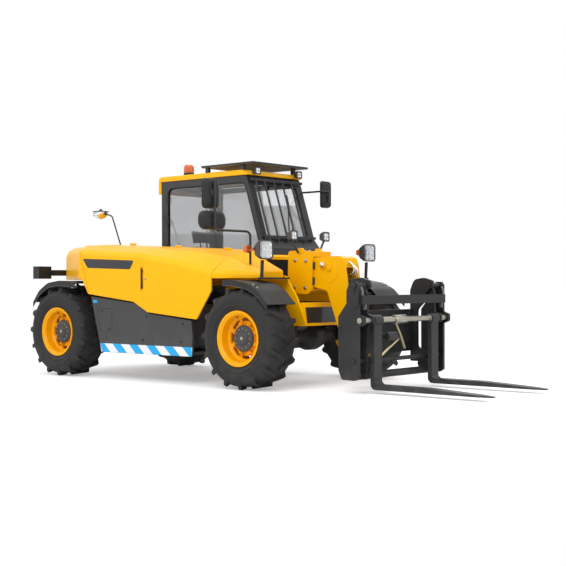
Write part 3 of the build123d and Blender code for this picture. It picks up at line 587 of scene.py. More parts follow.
PLASTIC = Finish("black_moulding", (0.013, 0.013, 0.0135), (0.018, 0.018, 0.0185), 0.5,
                 Relief.PEBBLE, 420.0, 0.0004, worn=(0.06, 0.06, 0.06), dust=0.12)
LAMP_SHELL = Finish("lamp_moulding", (0.04, 0.041, 0.043), (0.05, 0.051, 0.053), 0.38,
                    Relief.PEBBLE, 520.0, 0.0003, dust=0.05)
LIP_GREY = Finish("lip_moulding", (0.13, 0.13, 0.132), (0.16, 0.16, 0.162), 0.5,
                  Relief.PEBBLE, 420.0, 0.0003, dust=0.2)
RUBBER = Finish("tyre_rubber_black", (0.016, 0.016, 0.0165), (0.024, 0.0235, 0.0235), 0.66,
                Relief.CAST, 130.0, 0.0006, worn=(0.06, 0.058, 0.055), wear=0.5, dust=0.3,
                dust_colour=(0.16, 0.15, 0.135))
SEALING = Finish("sealing_rubber", (0.012, 0.012, 0.012), (0.017, 0.017, 0.017), 0.55,
                 Relief.PEBBLE, 600.0, 0.0002, dust=0.05)
CHROME = Finish("rod_chromium", (0.7, 0.7, 0.72), (0.62, 0.62, 0.64), 0.1, Relief.DRAWN, 260.0,
                0.0001, metallic=1.0, wear=0.0, dust=0.05)
ZINC = Finish("zinc_plating", (0.42, 0.4, 0.33), (0.34, 0.33, 0.28), 0.32, Relief.DRAWN, 240.0,
              0.0003, metallic=1.0, wear=0.0, dust=0.06)
BRASS_PASSIVE = Finish("yellow_passivate", (0.5, 0.42, 0.25), (0.42, 0.37, 0.26), 0.34,
                       Relief.DRAWN, 240.0, 0.0002, metallic=1.0, wear=0.0, dust=0.06)
REFLECTOR = Finish("lamp_reflector", (0.86, 0.87, 0.88), (0.78, 0.79, 0.8), 0.12, Relief.PEEL,
                   120.0, 0.0002, metallic=1.0, wear=0.0, dust=0.0)
MIRROR = Finish("mirror_silver", (0.8, 0.82, 0.84), (0.77, 0.79, 0.81), 0.06, Relief.PEEL,
                40.0, 0.00005, metallic=1.0, wear=0.0, dust=0.04, rounding=0.001)
AMBER = Finish("amber_lens", (0.62, 0.12, 0.012), (0.5, 0.09, 0.01), 0.18, Relief.PEEL, 90.0,
               0.0002, coat=0.7, wear=0.0, dust=0.03)
RED_LENS = Finish("red_lens", (0.42, 0.006, 0.006), (0.33, 0.005, 0.005), 0.14, Relief.PEEL,
                  90.0, 0.0002, coat=0.7, wear=0.0, dust=0.03)
SKY_BLUE = Finish("sky_blue_film", (0.0, 0.4, 0.85), (0.0, 0.37, 0.8), 0.34, Relief.PEEL, 260.0,
                  0.0002, coat=0.3, worn=(0.2, 0.5, 0.8), wear=0.1, dust=0.05, rounding=0.0005)
WHITE_FILM = Finish("white_film", (0.86, 0.87, 0.88), (0.82, 0.83, 0.85), 0.34, Relief.PEEL,
                    260.0, 0.0002, coat=0.3, wear=0.05, dust=0.05, rounding=0.0005)
BLACK_FILM = Finish("black_film", (0.014, 0.015, 0.018), (0.018, 0.019, 0.022), 0.3,
                    Relief.PEEL, 260.0, 0.0002, coat=0.4, wear=0.05, dust=0.05,
                    rounding=0.0005)
CLOTH = Finish("cushion_cloth", (0.035, 0.036, 0.04), (0.05, 0.051, 0.056), 0.8, Relief.WEAVE,
               240.0, 0.0008, wear=0.0, dust=0.08)
GLAZING = Pane("tinted_glazing", (0.6, 0.605, 0.61), 0.01, 0.00003)
LENS = Pane("clear_lens", (0.93, 0.94, 0.95), 0.02, 0.0004)


class Workpiece:
    """One mesh under construction, in the part's frame, until it is mounted on a body."""

    LEAST_RADIUS = 0.0002
    WASHER_RADIUS = 0.72
    WASHER_HEIGHT = 0.1
    HEAD_HEIGHT = 0.32

    def __init__(self, name: str) -> None:
        """Start an empty mesh.

        Args:
            name: The piece's name.
        """
        self.name = name
        self.mesh = bmesh.new()

    def skin(self, loops: Sequence[Sequence[Vector]], closed: bool = True,
             caps: bool = True) -> None:
        """Join loops of points one after the other with faces.

        Args:
            loops: Loops with the same number of points.
            closed: Whether each loop closes on itself.
            caps: Whether the first and last loops are filled.
        """
        rows = [[self.mesh.verts.new(point) for point in loop] for loop in loops]
        count = len(rows[0])
        for lower, upper in zip(rows, rows[1:]):
            for n in range(count if closed else count - 1):
                m = (n + 1) % count
                self.mesh.faces.new((lower[n], lower[m], upper[m], upper[n]))
        if caps:
            self.mesh.faces.new(rows[0][::-1])
            self.mesh.faces.new(rows[-1])

    def prism(self, outline: Sequence[Vector], depth: Vector) -> None:
        """Push a flat outline along a vector.

        Args:
            outline: The outline's points.
            depth: The way and length of the push.
        """
        self.skin([list(outline), [point + depth for point in outline]])

    def side(self, points: Sequence[tuple[float, ...]], y0: float, y1: float) -> None:
        """Push a side-view outline, which may have round corners, from y0 to y1.

        Args:
            points: Corners as (x, z) or (x, z, radius), x forward from the rear axle.
            y0: First side.
            y1: Other side.
        """
        self.prism([at(x, y0, z) for x, z in rounded(points)], Vector((0.0, y1 - y0, 0.0)))

    def lathe(self, origin: Vector, axis: Vector, profile: Sequence[tuple[float, float]],
              segments: int = 32) -> None:
        """Turn a profile about an axis.

        Args:
            origin: Start of the axis.
            axis: The axis' direction.
            profile: (distance along the axis, radius) from one end to the other.
            segments: Faces round the axis.
        """
        along = axis.normalized()
        across = along.orthogonal().normalized()
        third = along.cross(across)
        loops = []
        for distance, radius in profile:
            ring = []
            for n in range(segments):
                angle = 2 * math.pi * n / segments
                spoke = across * math.cos(angle) + third * math.sin(angle)
                ring.append(origin + along * distance + spoke * max(radius, self.LEAST_RADIUS))
            loops.append(ring)
        self.skin(loops)

    def tube(self, path: Sequence[Vector], radius: float, segments: int = 12) -> None:
        """Sweep a round bar along a path.

        Args:
            path: The centre line's points.
            radius: The bar's radius.
            segments: Faces round the bar.
        """
        across = (path[1] - path[0]).orthogonal().normalized()
        loops = []
        for n, point in enumerate(path):
            before = path[max(n - 1, 0)]
            after = path[min(n + 1, len(path) - 1)]
            along = (after - before).normalized()
            across = (across - along * across.dot(along)).normalized()
            third = along.cross(across)
            loops.append([point + (across * math.cos(2 * math.pi * k / segments)
                                   + third * math.sin(2 * math.pi * k / segments)) * radius
                          for k in range(segments)])
        self.skin(loops)

    def bead(self, outline: Sequence[Vector], radius: float, segments: int = 8) -> None:
        """Lay a closed round bead along an outline.

        Args:
            outline: The bead's centre line, closed on itself.
            radius: The bead's radius.
            segments: Faces round the bead.
        """
        self.tube([*outline, outline[0], outline[1]], radius, segments)

    def bolt(self, seat: Vector, axis: Vector, across: float = 0.018, washer: bool = True
             ) -> None:
        """Put a hexagon head with its washer.

        Args:
            seat: Where the head bears.
            axis: The way the head points.
            across: Width over the head's corners.
            washer: Whether there is a washer.
        """
        rise = self.WASHER_HEIGHT * across
        wide = self.WASHER_RADIUS * across
        tall = self.HEAD_HEIGHT * across
        if washer:
            self.lathe(seat, axis, [(0.0, wide), (rise, wide), (1.3 * rise, 0.66 * across)], 24)
        self.lathe(seat + axis.normalized() * rise, axis,
                   [(0.0, 0.5 * across), (tall, 0.5 * across), (1.15 * tall, 0.42 * across)], 6)

    def cap(self, seat: Vector, axis: Vector, radius: float, rise: float, bevel: float,
            sunk: float = 0.0, segments: int = 36, drop: float = 0.004) -> None:
        """Put a round cap with a bevelled edge, such as a pin's head.

        Args:
            seat: Middle of the cap's foot.
            axis: The way the cap points.
            radius: The cap's radius.
            rise: Height of its straight side.
            bevel: Height of its bevel.
            sunk: How far it reaches below the seat.
            segments: Faces round the cap.
            drop: How much smaller the bevel makes its top.
        """
        self.lathe(seat, axis, [(-sunk, radius), (rise, radius), (rise + bevel, radius - drop),
                                (rise + bevel, 0.0)], segments)

    def mount(self, body: str, finish: Finish | Pane, crease: float = 32.0
              ) -> bpy.types.Object:
        """End the mesh, give it its finish and let it ride on a body.

        Args:
            body: Body that carries it.
            finish: Its finish.
            crease: Angle in degrees above which an edge stays crisp.

        Returns:
            The piece.
        """
        bmesh.ops.recalc_face_normals(self.mesh, faces=self.mesh.faces)
        data = bpy.data.meshes.new(self.name)
        self.mesh.to_mesh(data)
        self.mesh.free()
        for polygon in data.polygons:
            polygon.use_smooth = True
        data.set_sharp_from_angle(angle=math.radians(crease))
        data.materials.append(Paintshop.material(finish))
        piece = bpy.data.objects.new(self.name, data)
        bpy.context.scene.collection.objects.link(piece)
        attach(piece, body)
        LOG.info("%s: %d faces", self.name, len(data.polygons))
        return piece


class Paintshop:
    """Keeps each finish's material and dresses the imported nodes."""

    kit: ShaderKit | None = None
    ready: dict[str, bpy.types.Material] = {}

    CRISP_ABOVE = math.radians(27.0)
    WELD_WITHIN = 0.00002

    BY_SLOT = {
        "yellow_paint": YELLOW, "grey_panel": GREY_PANEL, "black_paint": BLACK_STEEL,
        "cast_block": CAST_GREY, "black_plastic": PLASTIC, "lamp_housing": LAMP_SHELL,
        "signal_lens": AMBER, "rod_chrome": CHROME, "zinc_shaft": ZINC,
        "tinted_glass": GLAZING, "seat_vinyl": CLOTH, "rim_paint": RIM_YELLOW,
        "tyre_rubber": RUBBER}
    BY_NODE = {
        "cab_shell": CAB_BLACK, "cab_door": CAB_BLACK, "forks": FORGED,
        "bonnet_latch": PLASTIC, "mirror_tubes": CAB_BLACK, "roof_guard": CAB_BLACK,
        "screen_bars": CAB_BLACK}

    @classmethod
    def material(cls, finish: Finish | Pane) -> bpy.types.Material:
        """Give a finish's material, made at its first use.

        Args:
            finish: The finish.

        Returns:
            Its material.
        """
        if cls.kit is None:
            cls.kit = ShaderKit()
        if finish.name not in cls.ready:
            cls.ready[finish.name] = finish.material(cls.kit)
        return cls.ready[finish.name]

    @classmethod
    def dress(cls, frame: dict) -> None:
        """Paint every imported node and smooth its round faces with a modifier.
        """
        rounding = cls.smoothing()
        slots = {part["node"]: part["material_slot"] for part in frame["record"]["subparts"]}
        for name, node in frame["nodes"].items():
            finish = cls.BY_NODE.get(name, cls.BY_SLOT[slots[name]])
            material = cls.material(finish)
            if not node.material_slots:
                node.data.materials.append(material)
            for holder in node.material_slots:
                holder.material = material
            modifier = node.modifiers.new("smooth_round_faces", "NODES")
            modifier.node_group = rounding
            weights = node.modifiers.new("even_flat_faces", "WEIGHTED_NORMAL")
            weights.keep_sharp = True
            LOG.info("%s painted %s", name, finish.name)

    @staticmethod
    def smoothing() -> bpy.types.NodeTree:
        """Build the modifier that shades round faces smooth and keeps edges crisp.

        Returns:
            The modifier's node group.
        """
        tree = bpy.data.node_groups.new("smooth_round_faces", "GeometryNodeTree")
        tree.interface.new_socket("Geometry", in_out="INPUT", socket_type="NodeSocketGeometry")
        tree.interface.new_socket("Geometry", in_out="OUTPUT", socket_type="NodeSocketGeometry")
        source = tree.nodes.new("NodeGroupInput")
        result = tree.nodes.new("NodeGroupOutput")
        weld = tree.nodes.new("GeometryNodeMergeByDistance")
        weld.inputs["Distance"].default_value = Paintshop.WELD_WITHIN
        smooth = tree.nodes.new("GeometryNodeSetShadeSmooth")
        smooth.domain = "FACE"
        crisp = tree.nodes.new("GeometryNodeSetShadeSmooth")
        crisp.domain = "EDGE"
        crisp.inputs["Shade Smooth"].default_value = False
        angle = tree.nodes.new("GeometryNodeInputMeshEdgeAngle")
        steep = tree.nodes.new("FunctionNodeCompare")
        steep.data_type = "FLOAT"
        steep.operation = "GREATER_THAN"
        steep.inputs[1].default_value = Paintshop.CRISP_ABOVE
        tree.links.new(source.outputs[0], weld.inputs["Geometry"])
        tree.links.new(weld.outputs["Geometry"], smooth.inputs["Geometry"])
        tree.links.new(smooth.outputs["Geometry"], crisp.inputs["Geometry"])
        tree.links.new(angle.outputs["Unsigned Angle"], steep.inputs[0])
        tree.links.new(steep.outputs["Result"], crisp.inputs["Selection"])
        tree.links.new(crisp.outputs["Geometry"], result.inputs[0])
        return tree


@dataclass
class Wheel:
    """One corner's tyre, nuts, hub cover and valve, in the wheel's own frame."""

    corner: str
    x: float
    side: int
    lugs: int = 15
    lug_root: float = 0.345
    lug_shoulder: float = 0.4045
    lug_tip: float = 0.4109
    lug_rounding: float = 0.0035
    rib_radii: tuple[float, ...] = (0.272, 0.312)
    segments: int = 90
    screws: int = 12
    screw_circle: float = 0.08
    hub_face: float = 0.0745
    nuts: int = 8
    nut_circle: float = 0.126
    nut_seat: float = 0.047
    nut_size: float = 0.027

    LUG_FOOT = ((-0.064, -0.002), (-0.016, -0.002), (0.03, 0.08), (0.056, 0.1515),
                (0.004, 0.1515), (-0.026, 0.08))
    LUG_TOP = ((-0.057, 0.004), (-0.025, 0.004), (0.02, 0.08), (0.043, 0.141),
               (0.013, 0.141), (-0.016, 0.08))
    LUG_SLANT = 0.35
    LUG_START = -0.004
    BEAD = ((0.1, 0.206), (0.122, 0.214), (0.128, 0.231), (0.143, 0.25))
    TREAD = ((0.1555, 0.335), (0.152, 0.352), (0.143, 0.371), (0.122, 0.386), (0.09, 0.3925),
             (0.05, 0.3945), (0.0, 0.395))
    HUB_COVER = ((0.056, 0.1085), (0.064, 0.1085), (0.072, 0.1015), (0.0745, 0.096),
                 (0.0745, 0.058), (0.083, 0.052), (0.087, 0.044), (0.088, 0.0))
    HUB_PLUG = ((0.0, 0.016), (0.004, 0.016), (0.006, 0.012))
    VALVE = ((0.05, 0.186), (0.085, 0.178))
    VALVE_TURN = 0.4
    VALVE_RADIUS = 0.0055
    STUD = (0.05, 0.066)
    STUD_RADIUS = 0.0065

    @property
    def body(self) -> str:
        """Body that carries the wheel."""
        return f"wheel_{self.corner}"

    def local(self, run: float, out: float, height: float, angle: float = 0.0) -> Vector:
        """Point in the wheel's frame, turned about the axle.

        Args:
            run: Metres along the tread.
            out: Metres outward from the tyre's middle.
            height: Metres from the axle.
            angle: Turn about the axle in radians.

        Returns:
            The point in the part's frame.
        """
        x = height * math.sin(angle) + run * math.cos(angle)
        z = height * math.cos(angle) - run * math.sin(angle)
        return at(self.x + self.side * x, self.side * (TRACK_Y + out), AXLE_Z + z)

    def build(self) -> None:
        """Build the tyre and the fittings."""
        self.tyre()
        self.hub()
        self.wheel_nuts()

    def profile(self) -> list[tuple[float, float]]:
        """Half section of the carcass, from its bead to the middle of its tread.

        Returns:
            Points as (metres outward, radius).
        """
        half = list(self.BEAD)
        for radius in self.rib_radii:
            bulge = 0.151 if radius < 0.3 else 0.155
            half += [(bulge, radius - 0.004), (bulge + 0.003, radius - 0.002),
                     (bulge + 0.003, radius + 0.002), (bulge, radius + 0.004)]
        return half + list(self.TREAD)

    def tyre(self) -> None:
        """Build the carcass with its two rows of lugs and replace the plain tyre."""
        half = self.profile()
        section = half + [(-out, radius) for out, radius in half[-2::-1]]
        work = Workpiece(f"tyre_{self.corner}_lugged")
        loops = []
        for out, radius in section:
            loops.append([self.local(0.0, out, radius, 2 * math.pi * n / self.segments)
                          for n in range(self.segments)])
        loops.append(loops[0])
        work.skin(loops, caps=False)
        for n in range(self.lugs):
            for row, shift in ((1, 0.5), (-1, 0.0)):
                self.lug(work, row, 2 * math.pi * (n + shift) / self.lugs)
        piece = work.mount(self.body, RUBBER, 38.0)
        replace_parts(piece, f"tyre_{self.corner}")

    def lug(self, work: Workpiece, row: int, angle: float) -> None:
        """Add one lug: a slanting bar that tapers up and wraps over the shoulder.

        Args:
            work: The tyre's mesh.
            row: 1 for the outer row, -1 for the inner.
            angle: The lug's place round the tyre in radians.
        """
        loops = []
        for height, share, inset in ((self.lug_root, 0.0, 0.0), (self.lug_shoulder, 0.9, 0.0),
                                     (self.lug_tip, 1.0, self.lug_rounding)):
            loop = []
            for (run0, out0), (run1, out1) in zip(self.LUG_FOOT, self.LUG_TOP):
                run = run0 + (run1 - run0) * share
                out = out0 + (out1 - out0) * share
                middle = self.LUG_START + self.LUG_SLANT * out
                run += inset if run < middle else -inset
                if out > 0.1:
                    out -= inset
                loop.append(self.local(run, row * out, height, angle))
            loops.append(loop)
        work.skin(loops)

    def hub(self) -> None:
        """Build the dark hub cover with its ring of screws, and the valve."""
        middle = self.local(0.0, 0.0, 0.0)
        out = ACROSS * self.side
        work = Workpiece(f"hub_cover_{self.corner}")
        work.lathe(middle, out, self.HUB_COVER, 48)
        work.mount(self.body, CAST_GREY)
        screws = Workpiece(f"hub_screws_{self.corner}")
        for n in range(self.screws):
            angle = 2 * math.pi * n / self.screws
            screws.bolt(self.local(0.0, self.hub_face, self.screw_circle, angle), out, 0.011,
                        False)
        screws.lathe(middle + out * self.HUB_COVER[-1][0], out, self.HUB_PLUG, 6)
        screws.tube([self.local(0.0, reach, height, self.VALVE_TURN)
                     for reach, height in self.VALVE], self.VALVE_RADIUS)
        screws.mount(self.body, ZINC)

    def wheel_nuts(self) -> None:
        """Build the wheel nuts, with the studs' ends, on the rim's ring."""
        work = Workpiece(f"wheel_nuts_{self.corner}")
        out = ACROSS * self.side
        for n in range(self.nuts):
            angle = 2 * math.pi * (n + 0.5) / self.nuts + math.pi / 2
            work.bolt(self.local(0.0, self.nut_seat, self.nut_circle, angle), out,
                      self.nut_size)
            work.tube([self.local(0.0, reach, self.nut_circle, angle) for reach in self.STUD],
                      self.STUD_RADIUS, 10)
        work.mount(self.body, RIM_YELLOW)


@dataclass
class Mudguard:
    """Grey lip band and fixing bolts of one mudguard."""

    corner: str
    x: float
    side: int
    face: float = 0.926
    thick: float = 0.004
    bolt_y: float = 0.88
    bolt_size: float = 0.016

    FRONT_EDGE = ((-0.14, 0.8865), (-0.04, 0.8865, 0.17), (0.12, 0.86, 0.17),
                  (0.23, 0.806, 0.17), (0.347, 0.692))
    REAR_EDGE = ((-0.332, 0.6915), (-0.24, 0.8, 0.17), (-0.11, 0.872, 0.17),
                 (0.06, 0.892, 0.17), (0.19, 0.886, 0.17), (0.3, 0.869))
    FRONT_BOLTS = ((0.2, 0.8255), (0.155, 0.8485))
    REAR_BOLTS = ((-0.262, 0.776),)
    FRONT_SQUARE = Vector((0.5, 0.0, 0.86))
    REAR_SQUARE = Vector((-0.7, 0.0, 0.7))

    def build(self) -> None:
        """Build the lip along the guard's outer edge and the bolts through it."""
        front = self.x > 0.5 * WHEELBASE
        inner = self.side * self.face
        outer = inner + self.side * self.thick
        work = Workpiece(f"guard_lip_{self.corner}")
        loops = []
        for x, z in rounded(self.FRONT_EDGE if front else self.REAR_EDGE, 5):
            loops.append([at(self.x + x, inner, z - 0.046), at(self.x + x, inner, z - 0.032),
                          at(self.x + x, outer, z - 0.034), at(self.x + x, outer, z - 0.045)])
        work.skin(loops)
        work.mount(f"steer_{self.corner}", LIP_GREY)
        bolts = Workpiece(f"guard_bolts_{self.corner}")
        for x, z in self.FRONT_BOLTS if front else self.REAR_BOLTS:
            bolts.bolt(at(self.x + x, self.side * self.bolt_y, z),
                       self.FRONT_SQUARE if front else self.REAR_SQUARE, self.bolt_size)
        bolts.mount(f"steer_{self.corner}", ZINC)


@dataclass
class Bodywork:
    """Stripe band, bare plates, fixings and small fittings on the panels."""

    skirt_y: float = -0.85
    body_y: float = -0.88
    step_y: float = 0.85
    step_bolt_z: float = 0.41
    bolt_size: float = 0.014
    band_low: float = 0.245
    band_high: float = 0.323
    band_start: float = 0.6
    band_end: float = 1.765
    bars: int = 11
    slant: float = 0.085
    band_overrun: float = 0.03
    film: float = 0.0004
    tail_lamp: tuple[float, float, float] = (-0.104, -0.617, 1.09)
    lens_x: float = -0.432
    lens_z: float = 0.932
    lens_thick: float = 0.006
    lens_bars: int = 6
    lens_pitch: float = 0.0148
    lens_bar: float = 0.0132
    front_slope: float = 0.03 / 0.195
    front_plate_x: float = 2.5605
    front_plate_top: float = 0.7

    BONNET_PLATE = ((0.356, 1.096, 0.008), (1.072, 1.068, 0.012), (1.018, 0.99, 0.03),
                    (0.431, 1.01, 0.03))
    FRONT_PLATE = ((-0.31, 0.53), (0.24, 0.53), (0.24, 0.66), (-0.31, 0.66))
    HATCH = ((0.575, 0.43, 0.02), (0.735, 0.43, 0.02), (0.735, 0.64, 0.02), (0.52, 0.64, 0.02))
    SKIRT_BOLTS = ((0.6, 0.615), (0.7, 0.455), (0.66, 0.37), (1.15, 0.365), (1.64, 0.365),
                   (1.2, 0.575), (1.66, 0.52))
    STEP_BOLTS = (0.78, 1.2, 1.62)
    LAMP_RING = ((-0.006, 0.03), (0.004, 0.039), (0.009, 0.038), (0.011, 0.031),
                 (0.004, 0.029))
    LAMP_GLASS = ((0.0, 0.028), (0.003, 0.0285), (0.006, 0.024), (0.0085, 0.012), (0.009, 0.0))
    LENS_BLOCKS = (("amber", AMBER, 0.802, 0.848), ("red", RED_LENS, 0.732, 0.796))
    MARKER = ((0.475, 0.69, 0.006), (0.53, 0.69, 0.006), (0.53, 0.715, 0.006),
              (0.475, 0.715, 0.006))
    BONNET_FOLD = ((0.47, 0.782), (0.76, 0.752), (1.04, 0.72), (1.1, 0.7), (1.22, 0.642),
                   (1.28, 0.628), (1.55, 0.602), (1.82, 0.577))

    def build(self) -> None:
        """Build everything that sits on the panels."""
        self.stripes()
        self.plates()
        self.skirt_fittings()
        self.tail_fittings()
        self.bonnet_fittings()

    def stripes(self) -> None:
        """Build the white band and the blue bars that lean across it."""
        film = Workpiece("stripe_band_white")
        film.side([(self.band_start - 0.012, self.band_low, 0.002),
                   (self.band_end + 0.004, self.band_low, 0.02),
                   (self.band_end + 0.008, self.band_high, 0.002),
                   (self.band_start - self.band_overrun, self.band_high, 0.002)],
                  self.skirt_y - self.film, self.skirt_y)
        film.mount("machine", WHITE_FILM)
        bars = Workpiece("stripe_bars_blue")
        step = (self.band_end - self.band_start + self.slant) / self.bars
        for n in range(0, self.bars, 2):
            low_x = self.band_start + n * step
            outline = [(low_x, self.band_low), (low_x + step, self.band_low),
                       (low_x + step - self.slant, self.band_high),
                       (low_x - self.slant, self.band_high)]
            held = [(min(max(x, self.band_start - self.band_overrun), self.band_end + 0.004), z)
                    for x, z in outline]
            bars.side(held, self.skirt_y - 0.0009, self.skirt_y - 0.0003)
        bars.mount("machine", SKY_BLUE)

    def plates(self) -> None:
        """Build the bare dark plates on the bonnet's side and the sloped front panel."""
        plate = Workpiece("bonnet_plate_blank")
        plate.side(self.BONNET_PLATE, self.body_y - 0.001, self.body_y + 0.001)
        plate.mount("bonnet_lid", BLACK_FILM)
        front = Workpiece("front_plate_blank")
        front.prism([at(self.front_plate_x + (self.front_plate_top - z) * self.front_slope, y, z)
                     for y, z in self.FRONT_PLATE], AHEAD * 0.002)
        front.mount("machine", BLACK_FILM)

    def skirt_fittings(self) -> None:
        """Build the seam round the skirt's hatch, and the skirt's and the step's bolts."""
        hatch = Workpiece("skirt_hatch_seam")
        hatch.bead([at(x, self.skirt_y, z) for x, z in rounded(self.HATCH)], 0.0014, 6)
        hatch.mount("machine", SEALING)
        bolts = Workpiece("skirt_bolts")
        for x, z in self.SKIRT_BOLTS:
            bolts.bolt(at(x, self.skirt_y, z), -ACROSS, self.bolt_size)
        for x in self.STEP_BOLTS:
            bolts.bolt(at(x, self.step_y, self.step_bolt_z), ACROSS, self.bolt_size)
        bolts.mount("machine", BLACK_STEEL)

    def tail_fittings(self) -> None:
        """Build the ringed lamp, the tail lamps' lenses and the blue marker."""
        seat = at(*self.tail_lamp)
        ring = Workpiece("tail_lamp_ring")
        ring.lathe(seat, -ACROSS, self.LAMP_RING, 40)
        ring.mount("machine", PLASTIC)
        glass = Workpiece("tail_lamp_lens")
        glass.lathe(seat + ACROSS * 0.002, -ACROSS, self.LAMP_GLASS, 40)
        glass.mount("machine", REFLECTOR)
        for side in (-1, 1):
            place = "left" if side > 0 else "right"
            for label, finish, low, high in self.LENS_BLOCKS:
                lens = Workpiece(f"tail_lens_{label}_{place}")
                near, far = sorted((side * low, side * high))
                for n in range(self.lens_bars):
                    z = self.lens_z + self.lens_pitch * n
                    lens.prism([at(self.lens_x, near, z), at(self.lens_x, far, z),
                                at(self.lens_x, far, z + self.lens_bar),
                                at(self.lens_x, near, z + self.lens_bar)],
                               AHEAD * -self.lens_thick)
                lens.mount("machine", finish)
        marker = Workpiece("side_marker")
        marker.side(self.MARKER, -0.838, -0.8535)
        marker.mount("machine", SKY_BLUE)

    def bonnet_fittings(self) -> None:
        """Build the latch's lock and the folded lower edge."""
        lock = Workpiece("bonnet_lock")
        lock.cap(at(1.222, self.body_y, 0.905), -ACROSS, 0.011, 0.003, 0.001, 0.002, 24, 0.003)
        lock.mount("bonnet_lid", ZINC)
        seam = Workpiece("bonnet_lower_bead")
        seam.tube([at(x, self.body_y + 0.001, z) for x, z in self.BONNET_FOLD], 0.0035)
        seam.mount("bonnet_lid", YELLOW)


@dataclass
class Cab:
    """Glazing beads, cushions, controls, handles and wipers."""

    right: float = 0.125
    left: float = 0.88
    back: float = 0.302
    bead: float = 0.0065
    pad_cuts: int = 13
    pad_fill: float = 0.75
    channel_at: float = 0.52
    channel_width: float = 0.035
    channel_depth: float = 0.007

    SIDE_WINDOW = [(0.43, 1.8, 0.06), (0.43, 1.13, 0.06), (1.69, 1.13, 0.04),
                   (1.64, 1.262, 0.06), (1.469, 1.8, 0.045)]
    DOOR_WINDOW = [(0.45, 1.795, 0.03), (0.45, 1.028, 0.03), (0.632, 1.002, 0.03),
                   (0.72, 0.55, 0.03), (1.7, 0.55, 0.03), (1.716, 0.758, 0.03),
                   (1.668, 1.155, 0.03), (1.596, 1.24, 0.03), (1.42, 1.795, 0.03)]
    REAR_WINDOW = [(0.215, 1.19, 0.04), (0.79, 1.19, 0.04), (0.79, 1.79, 0.04),
                   (0.215, 1.79, 0.04)]
    BUFFERS = (1.23, 1.47, 1.69)
    PADS = (("cushion_base", (0.66, 0.262, 0.725), (1.125, 0.688, 0.852), 0.0, 0.016),
            ("cushion_back", (0.6, 0.275, 0.842), (0.725, 0.675, 1.228), -0.28, 0.014),
            ("cushion_head", (0.535, 0.34, 1.262), (0.608, 0.61, 1.386), -0.2, 0.01))
    PEDESTAL = ((0.775, 0.487), (1.0, 0.487), (0.96, 0.62, 0.02), (1.05, 0.7), (0.73, 0.7),
                (0.81, 0.62, 0.02))
    PAN = ((0.66, 0.7, 0.02), (1.11, 0.7, 0.02), (1.11, 0.74, 0.02), (0.66, 0.74, 0.02))
    BACK_SHELL = ((0.6, 0.82, 0.02), (0.66, 0.83, 0.02), (0.545, 1.225, 0.02),
                  (0.522, 1.22, 0.01))
    ARMREST = ((0.98, 0.86, 0.02), (1.34, 0.86, 0.03), (1.38, 0.93, 0.03), (1.0, 0.93, 0.03))
    KNOB = ((0.0, 0.012), (0.015, 0.022), (0.045, 0.024), (0.07, 0.018), (0.08, 0.0))
    DISPLAY = ((1.53, 1.12, 0.01), (1.6, 1.1, 0.01), (1.56, 1.24, 0.02), (1.53, 1.24, 0.01))
    SCREEN = ((0.635, 1.135, 0.01), (0.765, 1.135, 0.01), (0.765, 1.228, 0.01),
              (0.635, 1.228, 0.01))
    LEVER = ((1.32, 0.2, 0.92), (1.33, 0.2, 0.99), (1.345, 0.2, 1.03))
    WIPER_AT = (1.675, 0.5, 1.292)
    WIPER_BOSS = ((0.0, 0.018), (0.02, 0.018), (0.026, 0.012))
    WIPER_ARM = ((1.69, 0.5, 1.296), (1.63, 0.56, 1.48), (1.585, 0.6, 1.62))
    WIPER_BLADE = ((1.672, 0.585, 1.34), (1.556, 0.615, 1.7))
    GRAB_RAIL = ((0.33, 0.89, 1.05), (0.3, 0.915, 1.08), (0.3, 0.915, 1.62),
                 (0.33, 0.89, 1.65))
    HANDLE_GRIP = ((1.36, 0.006), (1.37, 0.03), (1.47, 0.03), (1.48, 0.006))
    HANDLE_PLATE = ((1.34, 0.985, 0.012), (1.5, 0.985, 0.02), (1.5, 1.03, 0.02),
                    (1.34, 1.03, 0.012))

    def build(self) -> None:
        """Build the cab's details."""
        self.beads()
        self.cushions()
        self.controls()
        self.outside()

    def beads(self) -> None:
        """Build the rubber beads that hold the panes."""
        work = Workpiece("window_beads")
        work.bead([at(x, self.right + 0.002, z) for x, z in rounded(self.SIDE_WINDOW)],
                  self.bead)
        work.bead([at(self.back, y, z) for y, z in rounded(self.REAR_WINDOW)], self.bead)
        work.mount("machine", SEALING)
        door = Workpiece("door_bead")
        door.bead([at(x, self.left - 0.002, z) for x, z in rounded(self.DOOR_WINDOW)],
                  self.bead)
        door.mount("door", SEALING)
        bumps = Workpiece("window_buffers")
        for z in self.BUFFERS:
            bumps.side([(0.408, z - 0.034, 0.012), (0.446, z - 0.034, 0.012),
                        (0.446, z + 0.034, 0.012), (0.408, z + 0.034, 0.012)],
                       self.right - 0.009, self.right + 0.001)
        bumps.mount("machine", SEALING)

    def cushions(self) -> None:
        """Build the soft base, back and head rest, and the frame that carries them."""
        for name, low, high, lean, pull in self.PADS:
            self.cushion(name, low, high, lean, pull)
        stand = Workpiece("operator_chair_frame")
        stand.side(self.PEDESTAL, 0.31, 0.64)
        stand.side(self.PAN, 0.262, 0.688)
        stand.side(self.BACK_SHELL, 0.29, 0.66)
        for y in (0.43, 0.52):
            stand.tube([at(0.59, y, 1.18), at(0.568, y, 1.3)], 0.006)
        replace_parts(stand.mount("machine", PLASTIC), "operator_seat")

